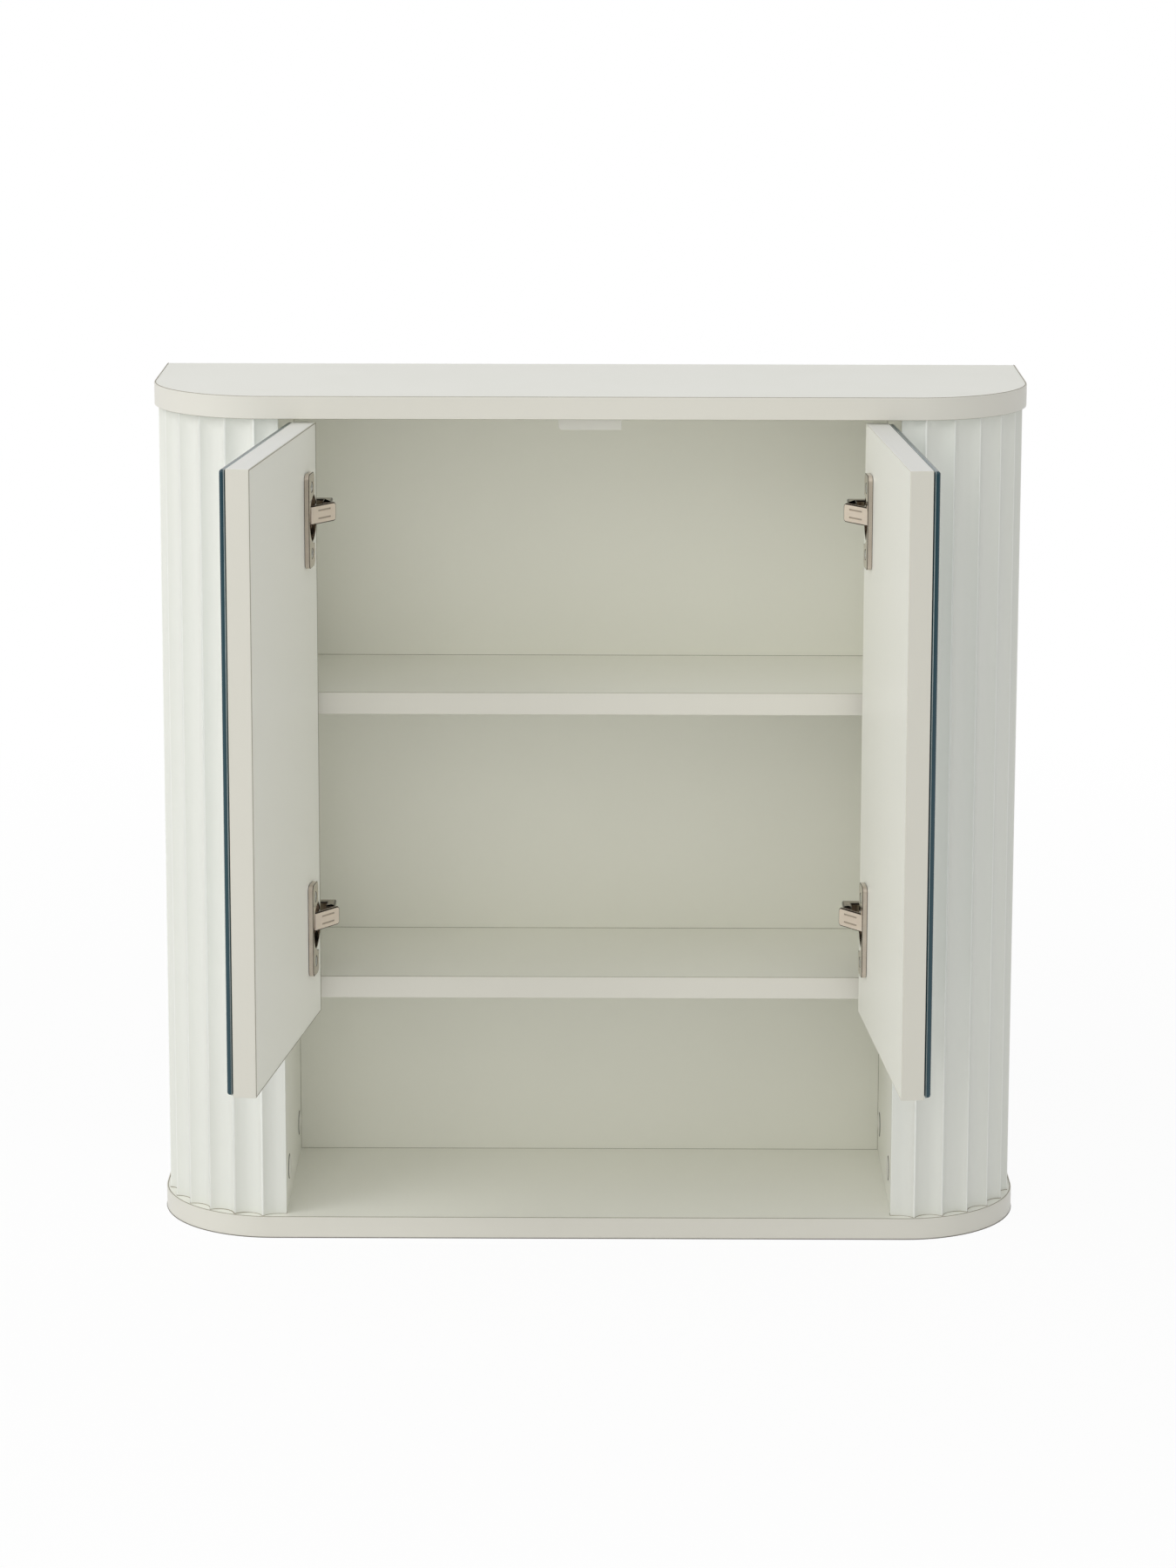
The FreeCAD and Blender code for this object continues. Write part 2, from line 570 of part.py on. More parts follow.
for place, low in (("top", CEILING), ("bottom", "0")):
    panel_core = d_body(place + "_board", "edge_band", low, "board")
    outline = d_body(place + "_outline", "0", low, "board")
    fasteners = head_dowels + stop_screws if place == "top" else cams["left"][1] + cams["right"][1]
    node(place + "_panel", cut(place + "_cut", panel_core, fasteners))
    node(place + "_edge_band", cut(place + "_band", outline, [panel_core]))

back_spans = [(f"-({HALF} + groove_depth)", f"{HALF} + groove_depth"),
              (BACK_FACE, "-back_recess"), WHOLE_HEIGHT]
node("back_panel", box("back", back_spans))

for shelf in ("upper", "lower"):
    level = (f"{shelf}_shelf_top - board", f"{shelf}_shelf_top")
    across = (f"-{HALF}", HALF)
    front = "shelf_setback - depth"
    plank = box(shelf + "_plank", [across, (f"{front} + edge_band", BACK_FACE), level])
    node(shelf + "_shelf", cut(shelf + "_shelf_cut", plank, dowels))
    band = box(shelf + "_shelf_band", [across, (front, f"{front} + edge_band"), level])
    node(shelf + "_shelf_edge_band", band)

hangers, hanger_screws = [], {}
for name, side in SIDES.items():
    eye = Vector(side * (half - v.hanger_eye_inset), -v.hanger_plate, v.height - v.hanger_drop)
    hanger_spans = [beside(side, f"{HALF} + hanger_lap - hanger_width", f"{HALF} + hanger_lap"),
                    ("-hanger_plate", "0"),
                    ("height - hanger_drop - hanger_height / 2", "height - hanger_drop + hanger_height / 2")]
    sheet_metal = box(name + "_hanger_blank", hanger_spans)
    eye_hole = rod(name + "_hanger_eye", "hanger_eye_radius", "hanger_plate", eye, ALONG_Y)
    hanger_screws[name] = []
    for number, step in enumerate((-0.5, 0.5)):
        place = Vector(side * (half + v.hanger_lap / 2), 0, eye.z + step * v.hanger_screw_spacing)
        hanger_screws[name].append(rod(f"{name}_hanger_screw_{number}", "screw_radius",
                                       "hanger_plate + screw_length", place, Rotation(Vector(1, 0, 0), 90)))
    hangers.append(cut(name + "_hanger", sheet_metal, [eye_hole] + hanger_screws[name]))

    skin_span = beside(side, HALF, "width / 2")
    blank = common(name + "_column_blank", ring,
                   box(name + "_column_zone", [skin_span, ("-depth", "0"), WHOLE_HEIGHT]))
    node(name + "_fluted_column", cut(name + "_column", blank, [flute_tools(name + "_column", side)]))
    rib_zones = []
    for number in range(1, RIB_LEVELS + 1):
        low = f"board + (height - 2 * board) * {number} / {RIB_LEVELS + 1} - column_rib / 2"
        rib_zones.append(box(f"{name}_rib_zone_{number}", [
            beside(side, f"{HALF} + board", "width / 2"), ("-depth", "0"), (low, f"{low} + column_rib")]))
    node(name + "_column_ribs", common(name + "_ribs", core, group(name + "_rib_zones", rib_zones)))

    side_span = beside(side, HALF, f"{HALF} + board")
    side_zone = box(name + "_side_zone", [side_span, ("-depth", "0"), WHOLE_HEIGHT])
    upright = common(name + "_upright", core, side_zone)
    groove = box(name + "_groove", back_spans)
    hanger_seat = box(name + "_hanger_seat", hanger_spans)
    fasteners = dowels + head_dowels + cams[name][1] + cam_bores(name, side) + hanger_screws[name]
    fasteners += [screw_piece for hinge in arms[name] for screw_piece in hinge[3]]
    openings = fuse(name + "_side_cuts", [groove, hanger_seat] + fasteners)
    node(name + "_side_panel", cut(name + "_side", upright, [openings]))

node("shelf_dowels", group("shelf_dowel_group", dowels))
node("top_panel_dowels", group("top_dowel_group", head_dowels))
node("cam_discs", group("cam_disc_group", cams["left"][0] + cams["right"][0]))
node("cam_bolts", group("cam_bolt_group", cams["left"][1] + cams["right"][1]))
node("cam_cover_caps", group("cam_cap_group", cams["left"][2] + cams["right"][2]))
node("wall_hanger_plates", group("hanger_group", hangers))
node("wall_hanger_screws", group("hanger_screw_group", hanger_screws["left"] + hanger_screws["right"]))

# Hinge pieces that stay on the carcass
for name in SIDES:
    node(name + "_hinge_arms", group(name + "_arm_group", [hinge[0] for hinge in arms[name]]))
    node(name + "_hinge_mounting_plates", group(name + "_plate_group", [hinge[1] for hinge in arms[name]]))
    node(name + "_hinge_arm_pins", group(name + "_arm_pin_group", [hinge[2] for hinge in arms[name]]))
every_hinge = arms["left"] + arms["right"]
plate_screws = [piece for hinge in every_hinge for piece in hinge[3]]
adjusters = [piece for hinge in every_hinge for piece in hinge[4]]
node("hinge_plate_screws", group("plate_screw_group", plate_screws))
node("hinge_adjusting_screws", group("adjuster_group", adjusters))

# Doors and links, standing open
for name, side in SIDES.items():
    angle = getattr(v, name + "_door_angle")
    swung = door_place(side, angle)
    links = [hinge_link(f"{name}_link_{number}", side, level) for number, level in enumerate(hinge_levels)]
    node(name + "_hinge_links", group(name + "_link_group", links), link_place(side, angle))

    near, far = "centre_gap / 2", f"{HALF} - side_gap"
    thick = ("glass + tape - depth", f"{INNER_FACE} - depth")
    full = box(name + "_door_outline", [beside(side, near, far), thick, (DOOR_LOW, DOOR_HIGH)])
    leaf = box(name + "_door_core", [beside(side, f"{near} + edge_band", f"{far} - edge_band"), thick,
                                     (f"{DOOR_LOW} + edge_band", f"{DOOR_HIGH} - edge_band")])
    cups = [hinge_cup(f"{name}_cup_{number}", side, level) for number, level in enumerate(hinge_levels)]
    bores = [cup_bore(f"{name}_cup_bore_{number}", side, level) for number, level in enumerate(hinge_levels)]
    cup_screws = [piece for cup in cups for piece in cup[2]]
    node(name + "_door_panel", cut(name + "_door", leaf, bores + cup_screws), swung)
    node(name + "_door_edge_band", cut(name + "_door_band", full, [leaf]), swung)
    node(name + "_hinge_cups", group(name + "_cup_group", [cup[0] for cup in cups]), swung)
    node(name + "_hinge_cup_pins", group(name + "_cup_pin_group", [cup[1] for cup in cups]), swung)
    node(name + "_hinge_cup_screws", group(name + "_cup_screw_group", cup_screws), swung)

    mirror_near, mirror_far = f"{near} + mirror_side_inset", f"{far} - mirror_side_inset"
    mirror_low, mirror_high = f"{DOOR_LOW} + mirror_bottom_inset", f"{DOOR_HIGH} - mirror_top_inset"
    pane = box(name + "_glass", [beside(side, mirror_near, mirror_far), ("-depth", "glass - depth"),
                                 (mirror_low, mirror_high)])
    node(name + "_mirror", pane, swung)
    strips = []
    for number, (low, high) in enumerate((
            (f"{mirror_near} + tape_inset", f"{mirror_near} + tape_inset + tape_width"),
            (f"{mirror_far} - tape_inset - tape_width", f"{mirror_far} - tape_inset"))):
        strips.append(box(f"{name}_strip_{number}", [
            beside(side, low, high), ("glass - depth", "glass + tape - depth"),
            (f"{mirror_low} + tape_inset", f"{mirror_high} - tape_inset")]))
    node(name + "_mirror_tape", group(name + "_strips", strips), swung)

doc.recompute()

# Check every object before anything is written
for thing in doc.Objects:
    if "Invalid" in thing.State or "Error" in thing.State:
        raise RuntimeError(f"{thing.Name} failed: {thing.State}")
for thing in nodes:
    if thing.Shape.isNull() or not thing.Shape.isValid() or not thing.Shape.Solids:
        raise RuntimeError(f"{thing.Label} has no valid solid")

os.makedirs("parts", exist_ok=True)
for thing in nodes:
    thing.Shape.exportStep(f"parts/{thing.Label}.step")
print(len(nodes), "pieces written")
for name, side in SIDES.items():
    arm_pin, cup_pin, elbow = hinge_points(side)
    rest_pin = link_place(side, getattr(v, name + "_door_angle")).multVec(cup_pin)
    for what, place in (("arm pin", arm_pin), ("cup pin", rest_pin)):
        print(name, what, [round(value, 4) for value in standing.multVec(place)])
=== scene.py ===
# %% [markdown]
# # A mirror cabinet with fluted columns
# The cabinet hangs on a wall: an off-white board carcass stands between two fluted columns, and two
# mirror doors turn on cup hinges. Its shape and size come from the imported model, which stays fixed.
# This lesson gives every piece its softened edges and its finish, and then lights and frames it.

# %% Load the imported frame
import json
import math

import bmesh
import bpy
import numpy as np
from mathutils import Matrix, Vector, noise
from mathutils.bvhtree import BVHTree

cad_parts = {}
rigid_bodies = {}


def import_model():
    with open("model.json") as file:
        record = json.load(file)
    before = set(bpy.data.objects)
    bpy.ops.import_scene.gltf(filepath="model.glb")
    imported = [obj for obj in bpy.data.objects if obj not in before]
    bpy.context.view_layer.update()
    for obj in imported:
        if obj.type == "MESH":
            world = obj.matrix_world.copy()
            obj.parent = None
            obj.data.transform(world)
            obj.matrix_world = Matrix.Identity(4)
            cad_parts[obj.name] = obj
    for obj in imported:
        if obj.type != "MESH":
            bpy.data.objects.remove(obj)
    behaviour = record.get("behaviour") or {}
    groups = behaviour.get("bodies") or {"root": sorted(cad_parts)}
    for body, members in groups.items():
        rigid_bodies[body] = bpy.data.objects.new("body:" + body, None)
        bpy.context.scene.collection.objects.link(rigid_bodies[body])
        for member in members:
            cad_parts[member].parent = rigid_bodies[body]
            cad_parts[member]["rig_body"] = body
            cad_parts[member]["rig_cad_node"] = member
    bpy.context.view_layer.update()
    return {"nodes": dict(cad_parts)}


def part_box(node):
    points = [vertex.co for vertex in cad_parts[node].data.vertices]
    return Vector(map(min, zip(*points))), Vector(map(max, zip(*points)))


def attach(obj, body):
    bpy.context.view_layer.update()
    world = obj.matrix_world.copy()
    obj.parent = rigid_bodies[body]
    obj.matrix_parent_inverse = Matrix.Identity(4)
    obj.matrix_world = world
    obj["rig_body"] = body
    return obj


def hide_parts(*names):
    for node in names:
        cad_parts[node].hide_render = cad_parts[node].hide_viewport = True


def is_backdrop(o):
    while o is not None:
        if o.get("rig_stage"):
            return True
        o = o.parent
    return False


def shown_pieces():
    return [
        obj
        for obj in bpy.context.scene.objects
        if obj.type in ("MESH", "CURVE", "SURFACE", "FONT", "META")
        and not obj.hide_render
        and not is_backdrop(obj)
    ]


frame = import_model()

print("nodes", len(frame["nodes"]))

# %% [markdown]
# ## Writing materials as sums
# A finish is never one flat colour: it has slow clouds, a fine grain and a gloss that varies. In the node
# editor that takes many small Math nodes. Here one class wraps a socket, so that a line such as
# `0.4 + 0.1 * grain` adds those nodes by itself. Colours pass through Mix nodes instead, because a Math
# node would turn them grey.


# %% Wires
class Wire:
    """One socket of a node tree. Arithmetic with it adds Math nodes."""

    def __init__(self, tree, socket=None):
        self.tree = tree
        self.socket = socket

    def add(self, kind, settings=None, inputs=None, output=0):
        """Add a node: its settings come first, then the values or wires of its inputs."""
        made = self.tree.nodes.new(kind)
        for name, value in (settings or {}).items():
            setattr(made, name, value)
        for name, value in (inputs or {}).items():
            if isinstance(value, Wire):
                self.tree.links.new(value.socket, made.inputs[name])
            else:
                made.inputs[name].default_value = value
        return Wire(self.tree, made.outputs[output])

    def maths(self, operation, one, two):
        """A Math node on two values or wires."""
        return self.add("ShaderNodeMath", {"operation": operation}, {0: one, 1: two})

    def __add__(self, other):
        return self.maths("ADD", self, other)

    def __rsub__(self, other):
        return self.maths("SUBTRACT", other, self)

    def __mul__(self, other):
        return self.maths("MULTIPLY", self, other)

    __radd__ = __add__
    __rmul__ = __mul__

    def about(self, middle, spread):
        """A value within half a spread of the middle, lowest where this one is 0."""
        return middle - spread / 2 + spread * self

    def ramp(self, start, end, low=0.0, high=1.0):
        """A value that goes from low to high as this one goes from start to end."""
        return self.add("ShaderNodeMapRange", {}, {"Value": self, "From Min": start, "From Max": end,
                                                   "To Min": low, "To Max": high})

    def blend(self, low, high):
        """A colour that goes from low to high as this value goes from 0 to 1."""
        return self.add("ShaderNodeMix", {"data_type": "RGBA"}, {0: self, 6: low, 7: high}, 2)

    def axis(self, name):
        """One axis of this vector."""
        return self.add("ShaderNodeSeparateXYZ", {}, {0: self}, name)

    def stretched(self, factors):
        """This vector with each axis multiplied by its own factor."""
        return self.add("ShaderNodeVectorMath", {"operation": "MULTIPLY"}, {0: self, 1: factors})

    def noise(self, size, detail=2.0):
        """Even noise from 0 to 1 on this vector, with features of about that size in metres."""
        return self.add("ShaderNodeTexNoise", {}, {"Vector": self, "Scale": 1 / size, "Detail": detail})

    def bump(self, height, strength=0.3):
        """A normal for a surface whose height in metres follows this value."""
        return self.add("ShaderNodeBump", {}, {"Height": self, "Distance": height, "Strength": strength})


# %% [markdown]
# ## Colours and an empty finish
# Colours are written in sRGB numbers, as a colour picker shows them, while shaders add up light in linear
# numbers. A short function converts them. Another starts a material and hands back its shader and the
# place on the piece, in metres, so that every grain has a real size and moves with its piece.


# %% Start a finish
def linear(share):
    """A linear value of 0 to 1 from an sRGB one, by the standard's own formula."""
    return share / 12.92 if share <= 0.04045 else ((share + 0.055) / 1.055) ** 2.4


def paint(red, green, blue):
    """A linear colour from three sRGB values of 0 to 255."""
    return [linear(value / 255) for value in (red, green, blue)] + [1]


def start(name, constants=None):
    """A new material, its shader with those constants, and the place on the piece."""
    made = bpy.data.materials.new(name)
    made.use_nodes = True
    shader = made.node_tree.nodes["Principled BSDF"]
    for socket, value in (constants or {}).items():
        shader.inputs[socket].default_value = value
    place = Wire(made.node_tree).add("ShaderNodeTexCoord", output="Object")
    return made, shader, place


def feed(shader, wires):
    """Link wires to the inputs of a shader."""
    for socket, wire in wires.items():
        wire.tree.links.new(wire.socket, shader.inputs[socket])


print("mid grey in linear light", [round(value, 3) for value in paint(128, 128, 128)[:3]])

# %% [markdown]
# ## White board, fluted skin, edge bands and back board
# The boards are chipboard under a satin white foil. Up close the foil has a soft grain like orange peel,
# and its gloss wanders a little. The columns are a routed skin in much the same white, with a faint pull
# along their length. The bands on the board edges are a warmer plastic strip. All are the same recipe with
# other numbers, so one function makes them.

# %% Board finishes
FOIL_IOR = 1.46
CLOUD_SIZE = 0.16
WANDER_SIZE = 0.03
FOIL_SPREAD = 0.12
PEEL_STRENGTH = 0.35
BOARD_SKIN = {"grain": 0.0016, "peel": 0.00006}
FLUTE_SKIN = {"grain": 0.002, "peel": 0.00006}
BAND_SKIN = {"grain": 0.0012, "peel": 0.00005}
BACK_SKIN = {"grain": 0.0024, "peel": 0.00007}
PULLED = (1, 1, 0.15)


def foil(name, light, dark, gloss, grain, peel, along=(1, 1, 1)):
    """Satin foil: clouds between two near whites, gloss that wanders, and a fine peel in its surface."""
    made, shader, place = start(name, {"IOR": FOIL_IOR})
    clouds = place.noise(CLOUD_SIZE, detail=3)
    wander = place.stretched(along).noise(WANDER_SIZE)
    skin = place.stretched(along).noise(grain)
    feed(shader, {
        "Base Color": clouds.blend(dark, light),
        "Roughness": wander.about(gloss, FOIL_SPREAD),
        "Normal": skin.bump(peel, PEEL_STRENGTH),
    })
    return made


white_board = foil("white_board", paint(247, 247, 239), paint(244, 244, 235), gloss=0.40, **BOARD_SKIN)
# A lighter copy of the white board for the doors: painted light on their inner faces.
door_board_painted_light = foil("door_board_painted_light", paint(251, 251, 244), paint(249, 249, 241), gloss=0.38, **BOARD_SKIN)
fluted_white = foil("fluted_white", paint(239, 240, 234), paint(235, 237, 230), gloss=0.36, **FLUTE_SKIN,
                    along=PULLED)
band_white = foil("band_white", paint(232, 230, 221), paint(228, 226, 216), gloss=0.44, **BAND_SKIN)
# A whiter copy of the fluted foil for the crests: a painted highlight.
crest_painted_highlight = foil("crest_painted_highlight", paint(251, 252, 248), paint(248, 249, 244), gloss=0.34, **FLUTE_SKIN)
# A darker copy of the band for the door edges: painted shade.
door_band_painted_shade = foil("door_band_painted_shade", paint(225, 223, 213), paint(221, 219, 208), gloss=0.44, **BAND_SKIN)
back_white = foil("back_white", paint(243, 243, 233), paint(239, 239, 228), gloss=0.46, **BACK_SKIN)
# A whiter copy of the door band for its top faces: painted light from above.
top_strip_painted_light = foil("top_strip_painted_light", paint(238, 238, 233), paint(234, 234, 228), gloss=0.42, **BAND_SKIN)
board_finishes = (white_board, door_board_painted_light, fluted_white, band_white, crest_painted_highlight, door_band_painted_shade, back_white,
                  top_strip_painted_light)
print("board finishes", [made.name for made in board_finishes])

# %% [markdown]
# ## Metal, plastic and wood
# Hinges are nickel-plated steel: a warm grey mirror, blurred by a fine brushing. Their arms take a darker
# copy of the nickel, which is painted shade, and the round edges of cups, arms and links are darker still, a
# painted reflection of a dark room. The links are only tumbled, so they scatter light and look like cream,
# and the floors of their pressed lines are darker, which is painted shade in those grooves.
# Screws, cams and hangers are zinc-plated, which is greyer and duller. Caps and the door stop are moulded
# plastic, and the dowels inside the joints are beech with its grain along the length.

# %% Metal finishes
PLATING_SIZE = 0.006
BRUSHED = (1, 1, 9)
BRUSH_DEPTH = 0.00002
METAL_SPREAD = 0.16


def plated(name, light, dark, gloss, brushing, metal=1.0):
    """Plated steel: brushed lines, and a plating that is a little uneven in colour and gloss."""
    made, shader, place = start(name, {"Metallic": metal})
    clouds = place.noise(PLATING_SIZE, detail=3)
    brush = place.stretched(BRUSHED).noise(brushing)
    feed(shader, {
        "Base Color": clouds.blend(dark, light),
        "Roughness": brush.about(gloss, METAL_SPREAD),
        "Normal": brush.bump(BRUSH_DEPTH),
    })
    return made


nickel = plated("nickel", paint(214, 203, 192), paint(192, 181, 170), gloss=0.13, brushing=0.0012)
# A darker copy of the nickel for the hinge arms: painted shade.
arm_painted_shade = plated("arm_painted_shade", paint(176, 165, 153), paint(150, 140, 129), gloss=0.16, brushing=0.0012)
# Dark round edges of cups, arms and links: a painted reflection of a dark room.
dark_edge_reflection = plated("dark_edge_reflection", paint(84, 75, 69), paint(58, 51, 47), gloss=0.22, brushing=0.0008)
zinc = plated("zinc", paint(207, 206, 203), paint(183, 182, 180), gloss=0.38, brushing=0.0008)
tumbled = plated("tumbled", paint(238, 225, 209), paint(228, 214, 198), gloss=0.46, brushing=0.0010,
                 metal=0.25)
# Darker floors of the links' pressed lines: painted shade in those grooves.
groove_shade = plated("groove_shade", paint(190, 177, 162), paint(170, 158, 144), gloss=0.5, brushing=0.0006, metal=0.2)
print("metal finishes", [made.name for made in (nickel, arm_painted_shade, dark_edge_reflection, zinc, tumbled, groove_shade)])

# %% Plastic and wood finishes
PLASTIC_IOR = 1.5
TONE_SIZE = 0.02
SPARK_SIZE = 0.0007
SPARK_DEPTH = 0.00003
PLASTIC_SPREAD = 0.1
GRAIN_SIZE = 0.0015
GRAIN_DEPTH = 0.0001
ALONG_GRAIN = (1, 1, 0.12)
WOOD_GLOSS = 0.625
WOOD_SPREAD = 0.15


def moulded(name, light, dark, gloss):
    """Moulded plastic: nearly even, with the fine spark texture of its mould."""
    made, shader, place = start(name, {"IOR": PLASTIC_IOR})
    spark = place.noise(SPARK_SIZE)
    feed(shader, {
        "Base Color": place.noise(TONE_SIZE).blend(dark, light),
        "Roughness": spark.about(gloss, PLASTIC_SPREAD),
        "Normal": spark.bump(SPARK_DEPTH),
    })
    return made


def beech():
    """Beech with its grain along the piece."""
    made, shader, place = start("beech")
    grain = place.stretched(ALONG_GRAIN).noise(GRAIN_SIZE, detail=4)
    feed(shader, {
        "Base Color": grain.blend(paint(196, 158, 112), paint(224, 192, 148)),
        "Roughness": grain.about(WOOD_GLOSS, WOOD_SPREAD),
        "Normal": grain.bump(GRAIN_DEPTH),
    })
    return made


white_plastic = moulded("white_plastic", paint(236, 235, 228), paint(230, 229, 221), gloss=0.34)
foam_tape = moulded("foam_tape", paint(222, 222, 218), paint(206, 206, 202), gloss=0.75)
beech_wood = beech()
print("plastic and wood finishes", white_plastic.name, foam_tape.name, beech_wood.name)

# %% [markdown]
# ## Mirror glass
# A mirror is clear glass with silver behind it and paint over the silver. From the front only the silver
# shows, so that face is a metal with almost no blur. The ground edge shows the glass itself, dark and
# blue-green, because light enters there and hardly comes back. The back face is the grey paint.

# %% Mirror finishes
FILM_SIZE = 0.05
FILM_GLOSS = 0.025
FILM_SPREAD = 0.02
GLASS_IOR = 1.52
DRIFT_SIZE = 0.12
DRIFT_ALONG = (1, 1, 0.5)
GROUND_SIZE = 0.0008
GROUND_DEPTH = 0.00003
GROUND_GLOSS = 0.19
GROUND_SPREAD = 0.1


def silvering():
    """Silver seen through clear glass, with hardly any blur."""
    made, shader, place = start("silvering", {"Metallic": 1.0})
    film = place.noise(FILM_SIZE, detail=3)
    feed(shader, {
        "Base Color": film.blend(paint(226, 232, 231), paint(232, 237, 236)),
        "Roughness": film.about(FILM_GLOSS, FILM_SPREAD),
    })
    return made


def glass_edge():
    """The ground edge of thick glass, which drifts from blue to green along its length."""
    made, shader, place = start("glass_edge", {"IOR": GLASS_IOR, "Specular IOR Level": 0.35})
    drift = place.stretched(DRIFT_ALONG).noise(DRIFT_SIZE)
    ground = place.noise(GROUND_SIZE)
    feed(shader, {
        "Base Color": drift.blend(paint(40, 62, 78), paint(38, 78, 82)),
        "Roughness": ground.about(GROUND_GLOSS, GROUND_SPREAD),
        "Normal": ground.bump(GROUND_DEPTH, strength=0.25),
    })
    return made


silver_face = silvering()
teal_edge = glass_edge()
mirror_paint = moulded("mirror_paint", paint(120, 124, 126), paint(108, 112, 114), gloss=0.5)
print("mirror finishes", silver_face.name, teal_edge.name, mirror_paint.name)

# %% [markdown]
# ## Eased edges
# No made edge is perfectly sharp: a band is trimmed with a tiny round, and steel is tumbled. That round is
# what catches a line of light. The imported mesh is cut into triangles, so the copy is first welded and its
# flat faces made whole again. A Bevel modifier then rounds what is sharper than 30 degrees, and hardened
# normals keep the flats flat. The copy replaces the node and rides on its body.

# %% Eased copies of nodes
WELD = 1e-6
FLAT = math.radians(0.6)
SHARP = math.radians(30)
BOARD_ROUND = 0.0004
FINE_STEPS = 3


def clean_mesh(node, name):
    """The node's mesh, welded and with whole flat faces."""
    work = bmesh.new()
    work.from_mesh(frame["nodes"][node].data)
    bmesh.ops.remove_doubles(work, verts=work.verts, dist=WELD)
    bmesh.ops.dissolve_limit(work, angle_limit=FLAT, verts=work.verts, edges=work.edges)
    for face in work.faces:
        face.smooth = True
        face.material_index = 0
    mesh = bpy.data.meshes.new(name)
    work.to_mesh(mesh)
    work.free()
    if "custom_normal" in mesh.attributes:
        mesh.attributes.remove(mesh.attributes["custom_normal"])
    return mesh


def stand_in(name, mesh, node, finishes):
    """A piece with that mesh in place of a node."""
    piece = bpy.data.objects.new(name, mesh)
    bpy.context.scene.collection.objects.link(piece)
    for finish in finishes:
        mesh.materials.append(finish)
    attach(piece, frame["nodes"][node]["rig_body"])
    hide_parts(node)
    return piece


def ease(piece, width, steps):
    """Round a piece's sharp edges to that width, in that many steps."""
    rounding = piece.modifiers.new("eased_edges", "BEVEL")
    rounding.width = width
    rounding.segments = steps
    rounding.limit_method = "ANGLE"
    rounding.angle_limit = SHARP
    rounding.use_clamp_overlap = False
    rounding.harden_normals = True
    return piece


def eased(node, finish, width=BOARD_ROUND, steps=2):
    """A copy of a node with rounded edges and a finish, in place of it."""
    name = node + "_eased"
    return ease(stand_in(name, clean_mesh(node, name), node, [finish]), width, steps)


# %% [markdown]
# ## The carcass
# Panels, shelves and sides are the same board. The front edges of panels and shelves carry a thin band, and
# the small rounds on both sides of that seam leave the hairline that shows where a band ends. The narrow
# crests between the flutes take a whiter copy of the foil than the hollows, which is a painted highlight.

# %% Boards, bands, columns and back
SIDES = ("left", "right")
BAND_ROUND = 0.00022
FLUTE_ROUND = 0.00038
BACK_ROUND = 0.0003
CREST_HIGHLIGHT = 1
CREST_WIDTHS = (0.0006, 0.0009)
boards = ["top_panel", "bottom_panel", "upper_shelf", "lower_shelf", "left_side_panel", "right_side_panel"]
bands = ["top_edge_band", "bottom_edge_band", "upper_shelf_edge_band", "lower_shelf_edge_band"]
for node in boards + [side + "_column_ribs" for side in SIDES]:
    eased(node, white_board)
for node in bands:
    eased(node, band_white, BAND_ROUND)
for side in SIDES:
    column = eased(side + "_fluted_column", fluted_white, FLUTE_ROUND, FINE_STEPS)
    # The crests and the column's rounds take the whiter foil: a painted highlight.
    column.data.materials.append(crest_painted_highlight)
    column.modifiers["eased_edges"].material = CREST_HIGHLIGHT
    low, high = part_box(side + "_fluted_column")
    least, most = [width * (high - low).z for width in CREST_WIDTHS]
    crests = [face for face in column.data.polygons if least < face.area < most]
    for face in crests:
        face.material_index = CREST_HIGHLIGHT
    print(column.name, len(crests), "crests between the flutes")
eased("back_panel", back_white, BACK_ROUND)

# %% [markdown]
# ## The doors
# A door is a board with a band on all four edges, two tapes and the mirror. The door board is a lighter
# copy of the white board, which is painted light, and its band a darker copy of the carcass band, which is
# painted shade. The strip along the top is whiter than the other three, painted light from above. The
# mirror's edge is ground round, like a pencil, so its bevel is wide, and its two wide faces take the silver
# or the paint by the way they point.

# %% Door boards and mirrors
DOOR_ROUND = 0.0003
TAPE_ROUND = 0.0001
PENCIL_EDGE = 0.00195
PENCIL_STEPS = 4
LEVEL = 0.9
LIT_TOP_STRIP = 1
EDGE, SILVER, PAINT = 0, 1, 2
for side in SIDES:
    eased(side + "_door_panel", door_board_painted_light, DOOR_ROUND)
    strips = eased(side + "_door_edge_band", door_band_painted_shade, DOOR_ROUND)
    strips.data.materials.append(top_strip_painted_light)
    # Upward faces of the band take the whiter copy: painted light from above.
    for face in strips.data.polygons:
        face.material_index = LIT_TOP_STRIP if face.normal.z > LEVEL else 0
    eased(side + "_mirror_tape", foam_tape, TAPE_ROUND)
    glass = side + "_mirror"
    mesh = clean_mesh(glass, glass + "_ground")
    pane = stand_in(glass + "_ground", mesh, glass, [teal_edge, silver_face, mirror_paint])
    wide = sorted(mesh.polygons, key=lambda face: face.area)[-2:]
    low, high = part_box(side + "_door_panel")
    towards_board = (low + high) / 2 - sum((face.center for face in wide), Vector()) / 2
    for face in wide:
        face.material_index = PAINT if face.normal.dot(towards_board) > 0 else SILVER
    ease(pane, PENCIL_EDGE, PENCIL_STEPS).modifiers["eased_edges"].material = EDGE

